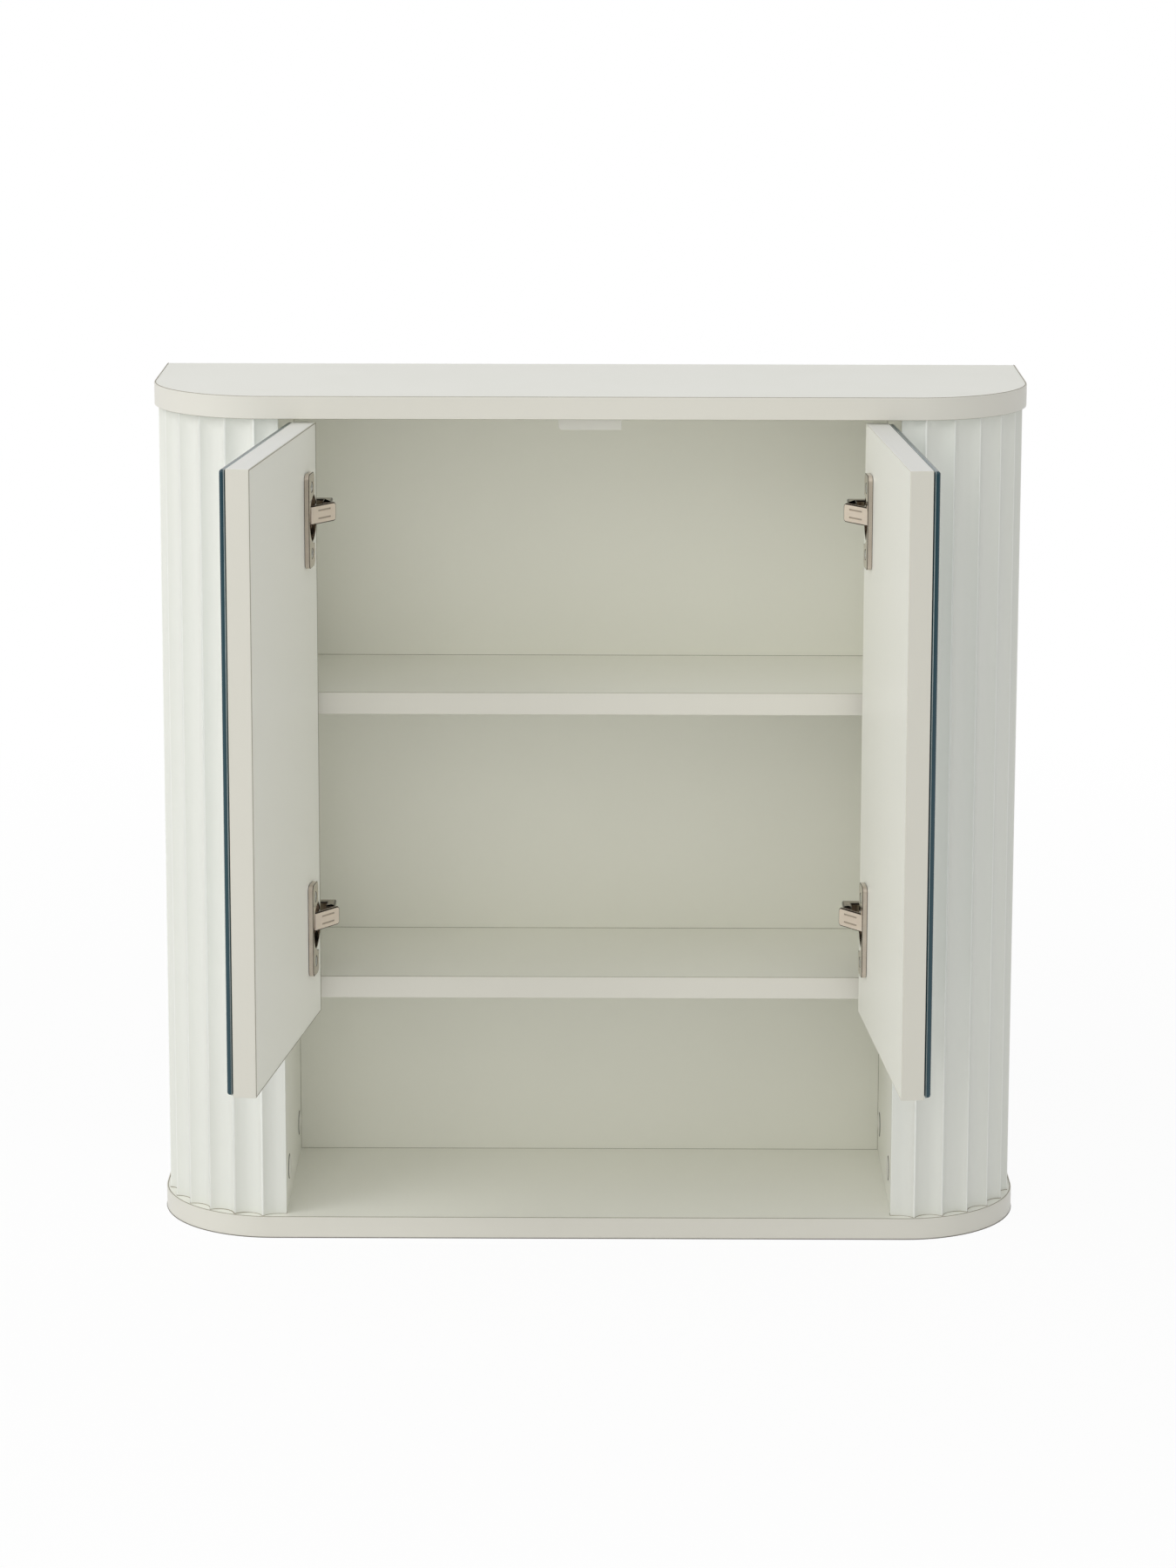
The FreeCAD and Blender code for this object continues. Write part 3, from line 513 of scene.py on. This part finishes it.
# %% [markdown]
# ## Fine lines
# The silver behind a mirror ends in a pale line that shows in the edge of the glass, close to the back. A
# band is pressed on with hot glue, and a hair of it stays in the seam as a darker line. The line could be
# painted by a mask in the finish, but then it would be missing from the mesh. Here it is a fine bead: the
# seam is the rim of the glued wall, so its edges are found on the mesh, walked end to end and given to a
# curve with a round bevel. Panels, shelves and the left door have it, while the right door is trimmed
# flush. The lower rim of the bottom panel has a dark bead as well, which is painted contact shadow.


# %% Beads along seams
def rims(mesh, is_wall, is_other=None):
    """The edges between such walls and the other faces, or some of those."""
    walls, others = set(), set()
    for face in mesh.polygons:
        if is_wall(face):
            walls.update(face.edge_keys)
        elif is_other is None or is_other(face):
            others.update(face.edge_keys)
    return walls & others


def runs_of(edges):
    """Edges walked end to end, as runs of vertex numbers."""
    beside = {}
    for one, two in edges:
        beside.setdefault(one, []).append(two)
        beside.setdefault(two, []).append(one)
    runs = []
    while beside:
        spot = min(beside, key=lambda number: len(beside[number]))
        run = []
        while spot is not None:
            run.append(spot)
            spot = next((other for other in beside.pop(spot) if other in beside), None)
        runs.append(run)
    return runs


def bead(name, runs, radius, finish, body, closed=False, swell=None):
    """A fine round bead along each run of places. swell gives its share of the radius at a place."""
    line = bpy.data.curves.new(name, "CURVE")
    line.dimensions = "3D"
    line.bevel_depth = radius
    line.bevel_resolution = 1
    line.use_fill_caps = True
    line.materials.append(finish)
    for run in runs:
        spline = line.splines.new("POLY")
        spline.points.add(len(run) - 1)
        spline.use_cyclic_u = closed
        for point, place in zip(spline.points, run):
            point.co = (*place, 1)
            point.radius = swell(place) if swell else 1
    piece = bpy.data.objects.new(name, line)
    bpy.context.scene.collection.objects.link(piece)
    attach(piece, body)
    return piece


# %% Silver lines in the mirrors' edges
SILVER_RADIUS = 0.0003
SILVER_LEVEL = 0.0008
SILVER_INSET = 0.0003
silver_rim = plated("silver_rim", paint(176, 188, 188), paint(150, 163, 164), gloss=0.3, brushing=0.0008,
                    metal=0.4)
for side in SIDES:
    pane = bpy.data.objects[side + "_mirror_ground"].data
    back = next(face for face in pane.polygons if face.material_index == PAINT)
    corners = [pane.vertices[number].co for number in back.vertices]
    run = []
    for before, corner, after in zip(corners[-1:] + corners, corners, corners[1:] + corners[:1]):
        inwards = (before - corner).normalized() + (after - corner).normalized()
        run.append(corner + SILVER_INSET * inwards - SILVER_LEVEL * back.normal)
    line = bead(side + "_mirror_silver_line", [run], SILVER_RADIUS, silver_rim, side + "_door",
                closed=True)
    print(line.name, len(run), "corners")

# %% Glue lines of the bands
GLUE_RADIUS = 0.00032
glue = moulded("glue", paint(174, 168, 152), paint(152, 147, 132), gloss=0.6)
pale_glue = moulded("pale_glue", paint(192, 187, 171), paint(172, 167, 151), gloss=0.6)


def middle_of(node):
    """The middle of a node's box."""
    low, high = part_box(node)
    return (low + high) / 2


def glue_line(band, board, finish):
    """A bead along the rim of the walls of a band that look at its board."""
    mesh = clean_mesh(band, band + "_rim")
    middle = middle_of(board)
    edges = rims(mesh, lambda face: face.normal.dot(middle - face.center) > 0)
    runs = [[mesh.vertices[number].co.copy() for number in run] for run in runs_of(edges)]
    bpy.data.meshes.remove(mesh)
    body = frame["nodes"][band]["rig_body"]
    return bead(band + "_glue_line", runs, GLUE_RADIUS, finish, body, closed=True)


lines = [glue_line(board + "_edge_band", board + "_panel", glue) for board in ("top", "bottom")]
lines += [glue_line(shelf + "_edge_band", shelf, pale_glue) for shelf in ("upper_shelf", "lower_shelf")]
lines.append(glue_line("left_door_edge_band", "left_door_panel", glue))
for line in lines:
    print(line.name, [len(spline.points) for spline in line.data.splines])

# %% Painted contact shadow on the lower rim of the bottom panel
RIM_RADIUS = 0.00035
STEEP = 0.5
# A dark bead along the lower rim: painted contact shadow.
contact_shade = moulded("contact_shade", paint(128, 124, 114), paint(112, 108, 99), gloss=0.7)
band = clean_mesh("bottom_edge_band", "bottom_rim")
middle = middle_of("bottom_panel")
edges = rims(band, lambda face: face.normal.z < -STEEP,
             lambda face: face.normal.dot(face.center - middle) > 0)
lift = Vector((0, 0, RIM_RADIUS))
runs = [[band.vertices[number].co + lift for number in run] for run in runs_of(edges)]
bpy.data.meshes.remove(band)
bead("bottom_edge_band_rim", runs, RIM_RADIUS, contact_shade, "cabinet")
print("lower rim", [len(run) for run in runs])

# %% [markdown]
# ## Gaps in the corners
# Boards that meet at right angles never close fully, and a thin gap stays round the back of each bay. A
# dull bead in the corner, darker than the boards, paints the shade in that gap, along the back of every
# bay's floor and up its corners.

# %% Corner gaps
GAP_RADIUS = 0.00025
# A bead darker than the boards: painted shade in the corner gaps.
corner_gap_shade = moulded("corner_gap_shade", paint(168, 166, 149), paint(150, 148, 132), gloss=0.8)
back_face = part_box("back_panel")[0].y
walls = [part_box("left_side_panel")[1].x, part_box("right_side_panel")[0].x]
bays = [("bottom_panel", "lower_shelf"), ("lower_shelf", "upper_shelf"), ("upper_shelf", "top_panel")]
corners = []
for under, over in bays:
    low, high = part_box(under)[1].z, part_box(over)[0].z
    corners.append([Vector((wall, back_face, low)) for wall in walls])
    corners += [[Vector((wall, back_face, low)), Vector((wall, back_face, high))] for wall in walls]
bead("corner_gaps", corners, GAP_RADIUS, corner_gap_shade, "cabinet")
print("corner gaps", len(corners))

# %% [markdown]
# ## The foot of the columns
# A thin bead of filler runs along the scalloped foot of each column, wiped by hand, so it swells and fades.
# Its dark colour also paints the shade of the thin gap at the foot.
# The foot's outer edges are those near the rim of the bottom panel; a noise along them sets the radius.

# %% Foot beads
FOOT_RADIUS = 0.0004
FOOT_REACH = 0.012
SWELL_SIZE = 0.011
SWELL_MIDDLE = 0.75
SWELL_RANGE = 0.7
# Filler whose dark colour also paints the shade of the gap at the foot.
filler_and_gap_shade = moulded("filler_and_gap_shade", paint(168, 160, 141), paint(134, 127, 110), gloss=0.6)
rim = clean_mesh("bottom_edge_band", "rim")
rim_tree = BVHTree.FromPolygons([spot.co for spot in rim.vertices],
                                [face.vertices for face in rim.polygons])
bpy.data.meshes.remove(rim)


def foot_line(side):
    """A bead along the outer edges of a column's foot."""
    node = side + "_fluted_column"
    mesh = clean_mesh(node, node + "_foot")
    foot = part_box(node)[0].z
    outer = {spot.index for spot in mesh.vertices
             if spot.co.z < foot + WELD and rim_tree.find_nearest(spot.co)[3] < FOOT_REACH}
    edges = [edge.vertices[:] for edge in mesh.edges if outer.issuperset(edge.vertices)]
    runs = [[mesh.vertices[number].co.copy() for number in run] for run in runs_of(edges)]
    bpy.data.meshes.remove(mesh)
    return bead(node + "_foot_bead", runs, FOOT_RADIUS, filler_and_gap_shade, "cabinet",
                swell=lambda place: SWELL_MIDDLE + SWELL_RANGE * noise.noise(place / SWELL_SIZE))


for side in SIDES:
    line = foot_line(side)
    print(line.name, [len(spline.points) for spline in line.data.splines])

# %% [markdown]
# ## Turned fittings
# Screws and caps are turned: a profile spun about an axis. Each one is measured on its solid in the packed
# model, which gives the axis, the visible end, the head and the shank. The cross in a head is cut with a
# Boolean modifier by a tapered plus sign, once for each kind, and the result is set down at each place.

# %% Spin and cut
CROSS_RISE = 0.25
CROSS_TAPER = 0.55


def turned(name, profile, sides=24):
    """A closed mesh from (radius, height) pairs, spun about Z from one end of the axis to the other."""
    work = bmesh.new()
    rings = []
    for radius, height in profile:
        turns = [2 * math.pi * step / sides for step in range(sides if radius else 1)]
        rings.append([work.verts.new((radius * math.cos(turn), radius * math.sin(turn), height))
                      for turn in turns])
    for upper, lower in zip(rings, rings[1:]):
        for step in range(sides):
            spots = [upper[step % len(upper)], lower[step % len(lower)],
                     lower[(step + 1) % len(lower)], upper[(step + 1) % len(upper)]]
            work.faces.new(list(dict.fromkeys(spots)))
    bmesh.ops.recalc_face_normals(work, faces=work.faces)
    mesh = bpy.data.meshes.new(name)
    work.to_mesh(mesh)
    work.free()
    return mesh


def plus_sign(reach, half, depth):
    """A tapered plus sign from just above the top face down to that depth."""
    corners = [(reach, half), (half, half), (half, reach)]
    quarters = ((1, 0), (0, 1), (-1, 0), (0, -1))
    outline = [(x * a - y * b, x * b + y * a) for a, b in quarters for x, y in corners]
    work = bmesh.new()
    top = [work.verts.new((x, y, CROSS_RISE * depth)) for x, y in outline]
    low = [work.verts.new((CROSS_TAPER * x, CROSS_TAPER * y, -depth)) for x, y in outline]
    work.faces.new(top)
    work.faces.new(low[::-1])
    for step in range(len(outline)):
        after = (step + 1) % len(outline)
        work.faces.new([top[step], low[step], low[after], top[after]])
    bmesh.ops.recalc_face_normals(work, faces=work.faces)
    mesh = bpy.data.meshes.new("plus_sign")
    work.to_mesh(mesh)
    work.free()
    return mesh


def minus(mesh, tool):
    """The mesh with the tool cut out of it."""
    whole, cutter = (bpy.data.objects.new(each.name, each) for each in (mesh, tool))
    for thing in (whole, cutter):
        bpy.context.scene.collection.objects.link(thing)
    cut = whole.modifiers.new("recess", "BOOLEAN")
    cut.object = cutter
    cut.solver = "EXACT"
    bpy.context.view_layer.update()
    result = bpy.data.meshes.new_from_object(whole.evaluated_get(bpy.context.evaluated_depsgraph_get()))
    for thing in (whole, cutter):
        bpy.data.objects.remove(thing)
    return result


# %% Measure the solids of a node
NEARLY = 0.99


def solids(node):
    """The separate solids of a node, each as an array of its places."""
    work = bmesh.new()
    work.from_mesh(frame["nodes"][node].data)
    bmesh.ops.remove_doubles(work, verts=work.verts, dist=WELD)
    left = set(work.verts)
    found = []
    while left:
        waiting = [left.pop()]
        group = []
        while waiting:
            spot = waiting.pop()
            group.append(spot.co[:])
            fresh = [edge.other_vert(spot) for edge in spot.link_edges if edge.other_vert(spot) in left]
            left.difference_update(fresh)
            waiting += fresh
        found.append(np.array(group))
    work.free()
    return found


def measure(places, faces=None):
    """Where a turned solid's visible end is, its axis outwards, and its head and shank.

    faces gives the way that the visible end looks. Without it, that end is the wider one.
    """
    middle = (places.min(0) + places.max(0)) / 2
    spread, ways = np.linalg.eigh(np.cov((places - places.mean(0)).T))
    axis = ways[:, 2 if spread[2] - spread[1] > spread[1] - spread[0] else 0]
    along = (places - middle) @ axis
    across = np.linalg.norm(places - middle - np.outer(along, axis), axis=1)
    wide = across > NEARLY * across.max()
    looks = along[wide].mean() if faces is None else axis @ np.array(faces(Vector(middle)))
    if looks < 0:
        axis, along = -axis, -along
    return {
        "place": Matrix.Translation(middle + axis * along.max())
        @ Vector(axis).to_track_quat("Z", "Y").to_matrix().to_4x4(),
        "head": across.max(),
        "head_height": along.max() - along[wide].min(),
        "shank": across[along < along.min() + WELD].max(),
        "length": along.max() - along.min(),
    }


# %% Shape of a screw
SMOOTH = math.radians(35)
THREAD = 0.0012
THREAD_ROOT = 0.78
PAN_HEAD = [(0, 0), (0.45, -0.04), (0.76, -0.16), (0.93, -0.4), (1, -0.65), (1, -1)]
HEADLESS_EASE = 0.12
CROSS_REACH = 0.62
CROSS_HALF = 0.13
CROSS_IN_HEIGHT = 0.6
CROSS_IN_HEAD = 0.5


def screw(size):
    """A pan-head screw with a cross in its head and a thread on its shank, or a headless one."""
    head, height, shank, length = (size[name] for name in ("head", "head_height", "shank", "length"))
    recess = min(CROSS_IN_HEIGHT * height, CROSS_IN_HEAD * head)
    if height > NEARLY * length:
        ease_by = HEADLESS_EASE * head
        profile = [(0, 0), (head - ease_by, 0), (head, -ease_by), (head, ease_by - length),
                   (head - ease_by, -length), (0, -length)]
    else:
        profile = [(share * head, level * height) for share, level in PAN_HEAD]
        root = THREAD_ROOT * shank
        turns = int((length - height - shank) / THREAD)
        for turn in range(turns):
            level = -height - turn * THREAD
            profile += [(root, level), (shank, level - THREAD / 2)]
        profile += [(root, -height - turns * THREAD), (0, -length)]
    mesh = minus(turned("screw", profile), plus_sign(CROSS_REACH * head, CROSS_HALF * head, recess))
    mesh.shade_smooth()
    mesh.set_sharp_from_angle(angle=SMOOTH)
    return mesh


# %% Set down
TURN_STEP = 0.9


def set_down(node, make, finish, faces=None):
    """One piece in place of a node, with the made mesh at each of its solids.

    Each one is turned a little further than the one before it.
    """
    sizes = [measure(places, faces) for places in solids(node)]
    template = make(sizes[0])
    work = bmesh.new()
    for number, size in enumerate(sizes):
        copy = template.copy()
        copy.transform(size["place"] @ Matrix.Rotation(TURN_STEP * number, 4, "Z"))
        work.from_mesh(copy)
        bpy.data.meshes.remove(copy)
    mesh = bpy.data.meshes.new(node + "_turned")
    work.to_mesh(mesh)
    work.free()
    return stand_in(node + "_turned", mesh, node, [finish])


def towards_middle(place):
    """The way from a place to the cabinet's middle plane."""
    return Vector((-place.x, 0, 0))


def towards_wall(place):
    """The way to the wall, the same from every place."""
    return Vector((0, 1, 0))


# %% Screws
screw_nodes = {"door_stop_screws": None, "hinge_plate_screws": None, "left_hinge_cup_screws": None,
               "right_hinge_cup_screws": None, "hinge_adjusting_screws": towards_middle,
               "wall_hanger_screws": towards_wall}
for node, faces in screw_nodes.items():
    piece = set_down(node, screw, zinc, faces)
    print(piece.name, len(solids(node)), "screws", len(piece.data.polygons), "faces")

# %% Cover caps
CAP_STEPS = 40
CAP_SHAPE = [(0, 0), (0.76, 0), (0.79, -0.22), (0.82, 0), (0.93, -0.06), (0.985, -0.3), (1, -0.6), (1, -1),
             (0, -1)]


def cap(size):
    """A thin push-in cap with a ring pressed near its rim."""
    profile = [(share * size["head"], level * size["length"]) for share, level in CAP_SHAPE]
    mesh = turned("cap", profile, CAP_STEPS)
    mesh.shade_smooth()
    mesh.set_sharp_from_angle(angle=SMOOTH)
    return mesh


set_down("cam_cover_caps", cap, white_plastic, towards_middle)
print("caps", len(solids("cam_cover_caps")))

# %% Rings round the caps
RING_RADIUS = 0.0004
ring_shade = moulded("ring_shade", paint(66, 61, 54), paint(50, 46, 40), gloss=0.8)


def ring(size):
    """The circle where a cap meets its panel."""
    radius, depth = size["head"], size["length"]
    turns = [2 * math.pi * step / CAP_STEPS for step in range(CAP_STEPS)]
    return [size["place"] @ Vector((radius * math.cos(turn), radius * math.sin(turn), -depth))
            for turn in turns]


rings = [ring(measure(places, towards_middle)) for places in solids("cam_cover_caps")]
# The dark rings are painted shade where each cap meets its panel.
bead("cam_cover_cap_rings", rings, RING_RADIUS, ring_shade, "cabinet", closed=True)
print("rings", len(rings))

# %% [markdown]
# ## Hinges and hidden fittings
# A hinge is pressed from sheet, so its outer edges are round. The Bevel modifier rounds them, and on cups,
# arms and links it gives them their own dark finish, which is a painted reflection of a dark room. There
# the inner corners stay sharp, because a fillet would touch the links as they turn.
# The floors of the two lines pressed into each link take a darker finish, which is painted shade in those
# grooves. These floors are the only faces of a link that are less than two millimetres high, which is how
# they are found. Pins, cams, bolts and dowels sit inside other pieces, so their nodes stay as they are and
# only take a finish.

# %% Hinge parts
CUP_ROUND = 0.0004
ARM_ROUND = 0.0011
PLATE_ROUND = 0.0005
LINK_ROUND = 0.0008
LINE_HEIGHT = 0.002
LINE_REACH = 0.0037
EDGE_REFLECTION, GROOVE_SHADE = 1, 2


def painted_reflection_edges(node, finish, width, steps=2, reach=0.0):
    """A copy of a pressed piece whose round outer edges are dark, a painted reflection of a dark room.

    Edges that are nearer than reach to a solid's middle height stay sharp.
    """
    piece = eased(node, finish, width, steps)
    piece.data.materials.append(dark_edge_reflection)
    middles = [(places.min(0) + places.max(0))[2] / 2 for places in solids(node)]
    work = bmesh.new()
    work.from_mesh(piece.data)
    weight = work.edges.layers.float.new("bevel_weight_edge")
    for edge in work.edges:
        if edge.calc_face_angle(0) > SHARP:
            off = max(min(abs(spot.co.z - middle) for middle in middles) for spot in edge.verts)
            is_outer = edge.is_convex and off >= reach
            edge[weight] = float(is_outer)
            edge.smooth = is_outer
    work.to_mesh(piece.data)
    work.free()
    rounding = piece.modifiers["eased_edges"]
    rounding.limit_method = "WEIGHT"
    rounding.material = EDGE_REFLECTION
    return piece


def link_with_groove_shade(node):
    """A copy of a link with dark round outer edges, a painted reflection, and sharp pressed lines whose
    floors are darker, painted shade.
    """
    piece = painted_reflection_edges(node, tumbled, LINK_ROUND, reach=LINE_REACH)
    mesh = piece.data
    mesh.materials.append(groove_shade)
    for face in mesh.polygons:
        levels = [mesh.vertices[number].co.z for number in face.vertices]
        is_line = abs(face.normal.z) < STEEP and max(levels) - min(levels) < LINE_HEIGHT
        face.material_index = GROOVE_SHADE if is_line else 0
    return piece


# Arms take the darker nickel, painted shade, and the dark round edges are a painted reflection.
for side in SIDES:
    painted_reflection_edges(side + "_hinge_cups", nickel, CUP_ROUND)
    painted_reflection_edges(side + "_hinge_arms", arm_painted_shade, ARM_ROUND, FINE_STEPS)
    eased(side + "_hinge_mounting_plates", nickel, PLATE_ROUND)
    link = link_with_groove_shade(side + "_hinge_links")
    print(link.name, len(link.data.polygons), "faces")

# %% Hangers, door stop and hidden fittings
HANGER_ROUND = 0.0003
STOP_ROUND = 0.0005
eased("wall_hanger_plates", zinc, HANGER_ROUND)
eased("door_stop_block", white_plastic, STOP_ROUND, FINE_STEPS)
plain_finishes = {
    nickel: [f"{side}_{pin}" for side in SIDES for pin in ("hinge_arm_pins", "hinge_cup_pins")],
    zinc: ["cam_discs", "cam_bolts"],
    beech_wood: ["shelf_dowels", "top_panel_dowels"],
}
for finish, members in plain_finishes.items():
    for node in members:
        frame["nodes"][node].data.materials.clear()
        frame["nodes"][node].data.materials.append(finish)
print("shown nodes that keep their mesh", sum("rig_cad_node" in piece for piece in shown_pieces()))

# %% [markdown]
# ## The stage
# The cabinet stands on a white sweep. To the camera, and in metal and glass, the floor is mostly a plain
# white, and near the cabinet the rest of it is an ordinary matt surface, so that the shadow stays there.
# Some two metres in front the sweep ends in a grey studio, which only metal and mirrors show. It gives them
# the dark streaks by which they are known.

# %% Floor
FLOOR_SIZE = 60.0
NEAR_GLOW = 0.94
NEAR, FAR = 0.5, 1.6
SWEEP_END, STUDIO = 1.6, 2.8
WHITE = (1, 1, 1, 1)
SWEEP_WHITE = paint(250, 250, 250)
STUDIO_GREY = paint(112, 107, 105)


def seen_rays(wire):
    """Rays that a viewer follows, as two values: 1 for straight or through glass, and 1 for mirrored."""
    path = wire.add("ShaderNodeLightPath").socket.node
    straight, mirrored, through = (Wire(wire.tree, path.outputs[name]) for name in
                                   ("Is Camera Ray", "Is Glossy Ray", "Is Transmission Ray"))
    return straight.maths("MAXIMUM", straight, through), mirrored


bpy.ops.mesh.primitive_plane_add(size=FLOOR_SIZE)
floor = bpy.context.object
floor.name = "floor"
floor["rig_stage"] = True
sweep, matt, place = start("sweep", {"Roughness": 0.9, "Specular IOR Level": 0.0})
glow = place.add("ShaderNodeEmission", {}, {"Color": WHITE, "Strength": 1.0})
surface = Wire(sweep.node_tree, matt.outputs[0])
away = place.add("ShaderNodeVectorMath", {"operation": "LENGTH"}, {0: place}, "Value")
share = away.ramp(NEAR, FAR, low=NEAR_GLOW)
beyond = (0 - place.axis("Y")).ramp(SWEEP_END, STUDIO)
straight, mirrored = seen_rays(place)
feed(matt, {"Base Color": (mirrored * beyond).blend(SWEEP_WHITE, STUDIO_GREY)})
glowing = straight * share + mirrored * (1 - beyond)
mixed = place.add("ShaderNodeMixShader", {}, {0: glowing, 1: surface, 2: glow})
feed(sweep.node_tree.nodes["Material Output"], {"Surface": mixed})
floor.data.materials.append(sweep)
print(floor.name, "with the finish", sweep.name)

# %% World
FILL = 0.535
SKY_START, SKY_FULL = 0.1, 0.5
BACKDROP_START, BACKDROP_FULL = -0.95, -0.55
world = bpy.data.worlds.new("studio")
bpy.context.scene.world = world
world.use_nodes = True
air = Wire(world.node_tree)
fill = air.add("ShaderNodeBackground", {}, {"Color": WHITE, "Strength": FILL})
white = air.add("ShaderNodeBackground", {}, {"Color": WHITE, "Strength": 1.0})
heading = air.add("ShaderNodeTexCoord", output="Generated")
sky = heading.axis("Z").ramp(SKY_START, SKY_FULL)
backdrop = heading.axis("Y").ramp(BACKDROP_START, BACKDROP_FULL)
room = sky.maths("MAXIMUM", sky, backdrop).blend(STUDIO_GREY, WHITE)
studio = air.add("ShaderNodeBackground", {}, {"Color": room, "Strength": 1.0})
straight, mirrored = seen_rays(air)
plain = air.add("ShaderNodeMixShader", {}, {0: straight, 1: fill, 2: white})
mixed = air.add("ShaderNodeMixShader", {}, {0: mirrored, 1: plain, 2: studio})
feed(world.node_tree.nodes["World Output"], {"Surface": mixed})
print("world", world.name)

# %% [markdown]
# ## Lights
# One soft light stands high on the left, so the left column is bright, the right one is in half shade and
# the right door's inner face is lighter than the left one's. A warm light beside the camera reaches into
# the bays, one above it lights the shelves, and the world fills the shade.

# %% Soft lights
TARGET = Vector((0, 0, 0.3))


def soft_light(name, place, size, power, tint=(1, 1, 1)):
    """A round soft light that looks at the cabinet."""
    lamp = bpy.data.lights.new(name, "AREA")
    lamp.shape = "DISK"
    lamp.size = size
    lamp.energy = power
    lamp.color = tint
    stand = bpy.data.objects.new(name, lamp)
    bpy.context.scene.collection.objects.link(stand)
    stand.location = place
    stand.rotation_euler = (TARGET - Vector(place)).to_track_quat("-Z", "Y").to_euler()
    return stand


soft_light("key_light", place=(-2.2, -1.3, 1.9), size=2.0, power=21.0)
soft_light("front_light", place=(-0.4, -3.2, 1.2), size=2.0, power=8.0, tint=(1.0, 0.985, 0.9))
soft_light("high_light", place=(-0.6, -2.4, 2.4), size=1.8, power=8.6, tint=(1.0, 0.99, 0.93))

# %% [markdown]
# ## The camera
# The picture was taken from in front and above with a long lens. Its uprights stay nearly parallel, as with
# a lens that is shifted downwards, so the camera has a small shift of its own.

# %% Camera
EYE = Vector((0.012, -3.0261, 1.0095))
PITCH, YAW, ROLL = (math.radians(angle) for angle in (10.477, -0.254, -0.104))
SENSOR = 36
LENS = 101.66
SHIFT = -0.13

forward = Vector((math.sin(YAW) * math.cos(PITCH), math.cos(YAW) * math.cos(PITCH), -math.sin(PITCH)))
right = Vector((math.cos(YAW), -math.sin(YAW), 0))
down = forward.cross(right)
tilted_right = math.cos(ROLL) * right + math.sin(ROLL) * down
tilted_up = math.sin(ROLL) * right - math.cos(ROLL) * down
lens = bpy.data.cameras.new("camera")
lens.sensor_width = SENSOR
lens.lens = LENS
lens.shift_y = SHIFT
camera = bpy.data.objects.new("camera", lens)
bpy.context.scene.collection.objects.link(camera)
axes = Matrix((tilted_right, tilted_up, -forward)).transposed().to_4x4()
camera.matrix_world = Matrix.Translation(EYE) @ axes
bpy.context.scene.camera = camera
bpy.context.scene.view_settings.view_transform = "Standard"
print("camera", [round(value, 3) for value in camera.location])
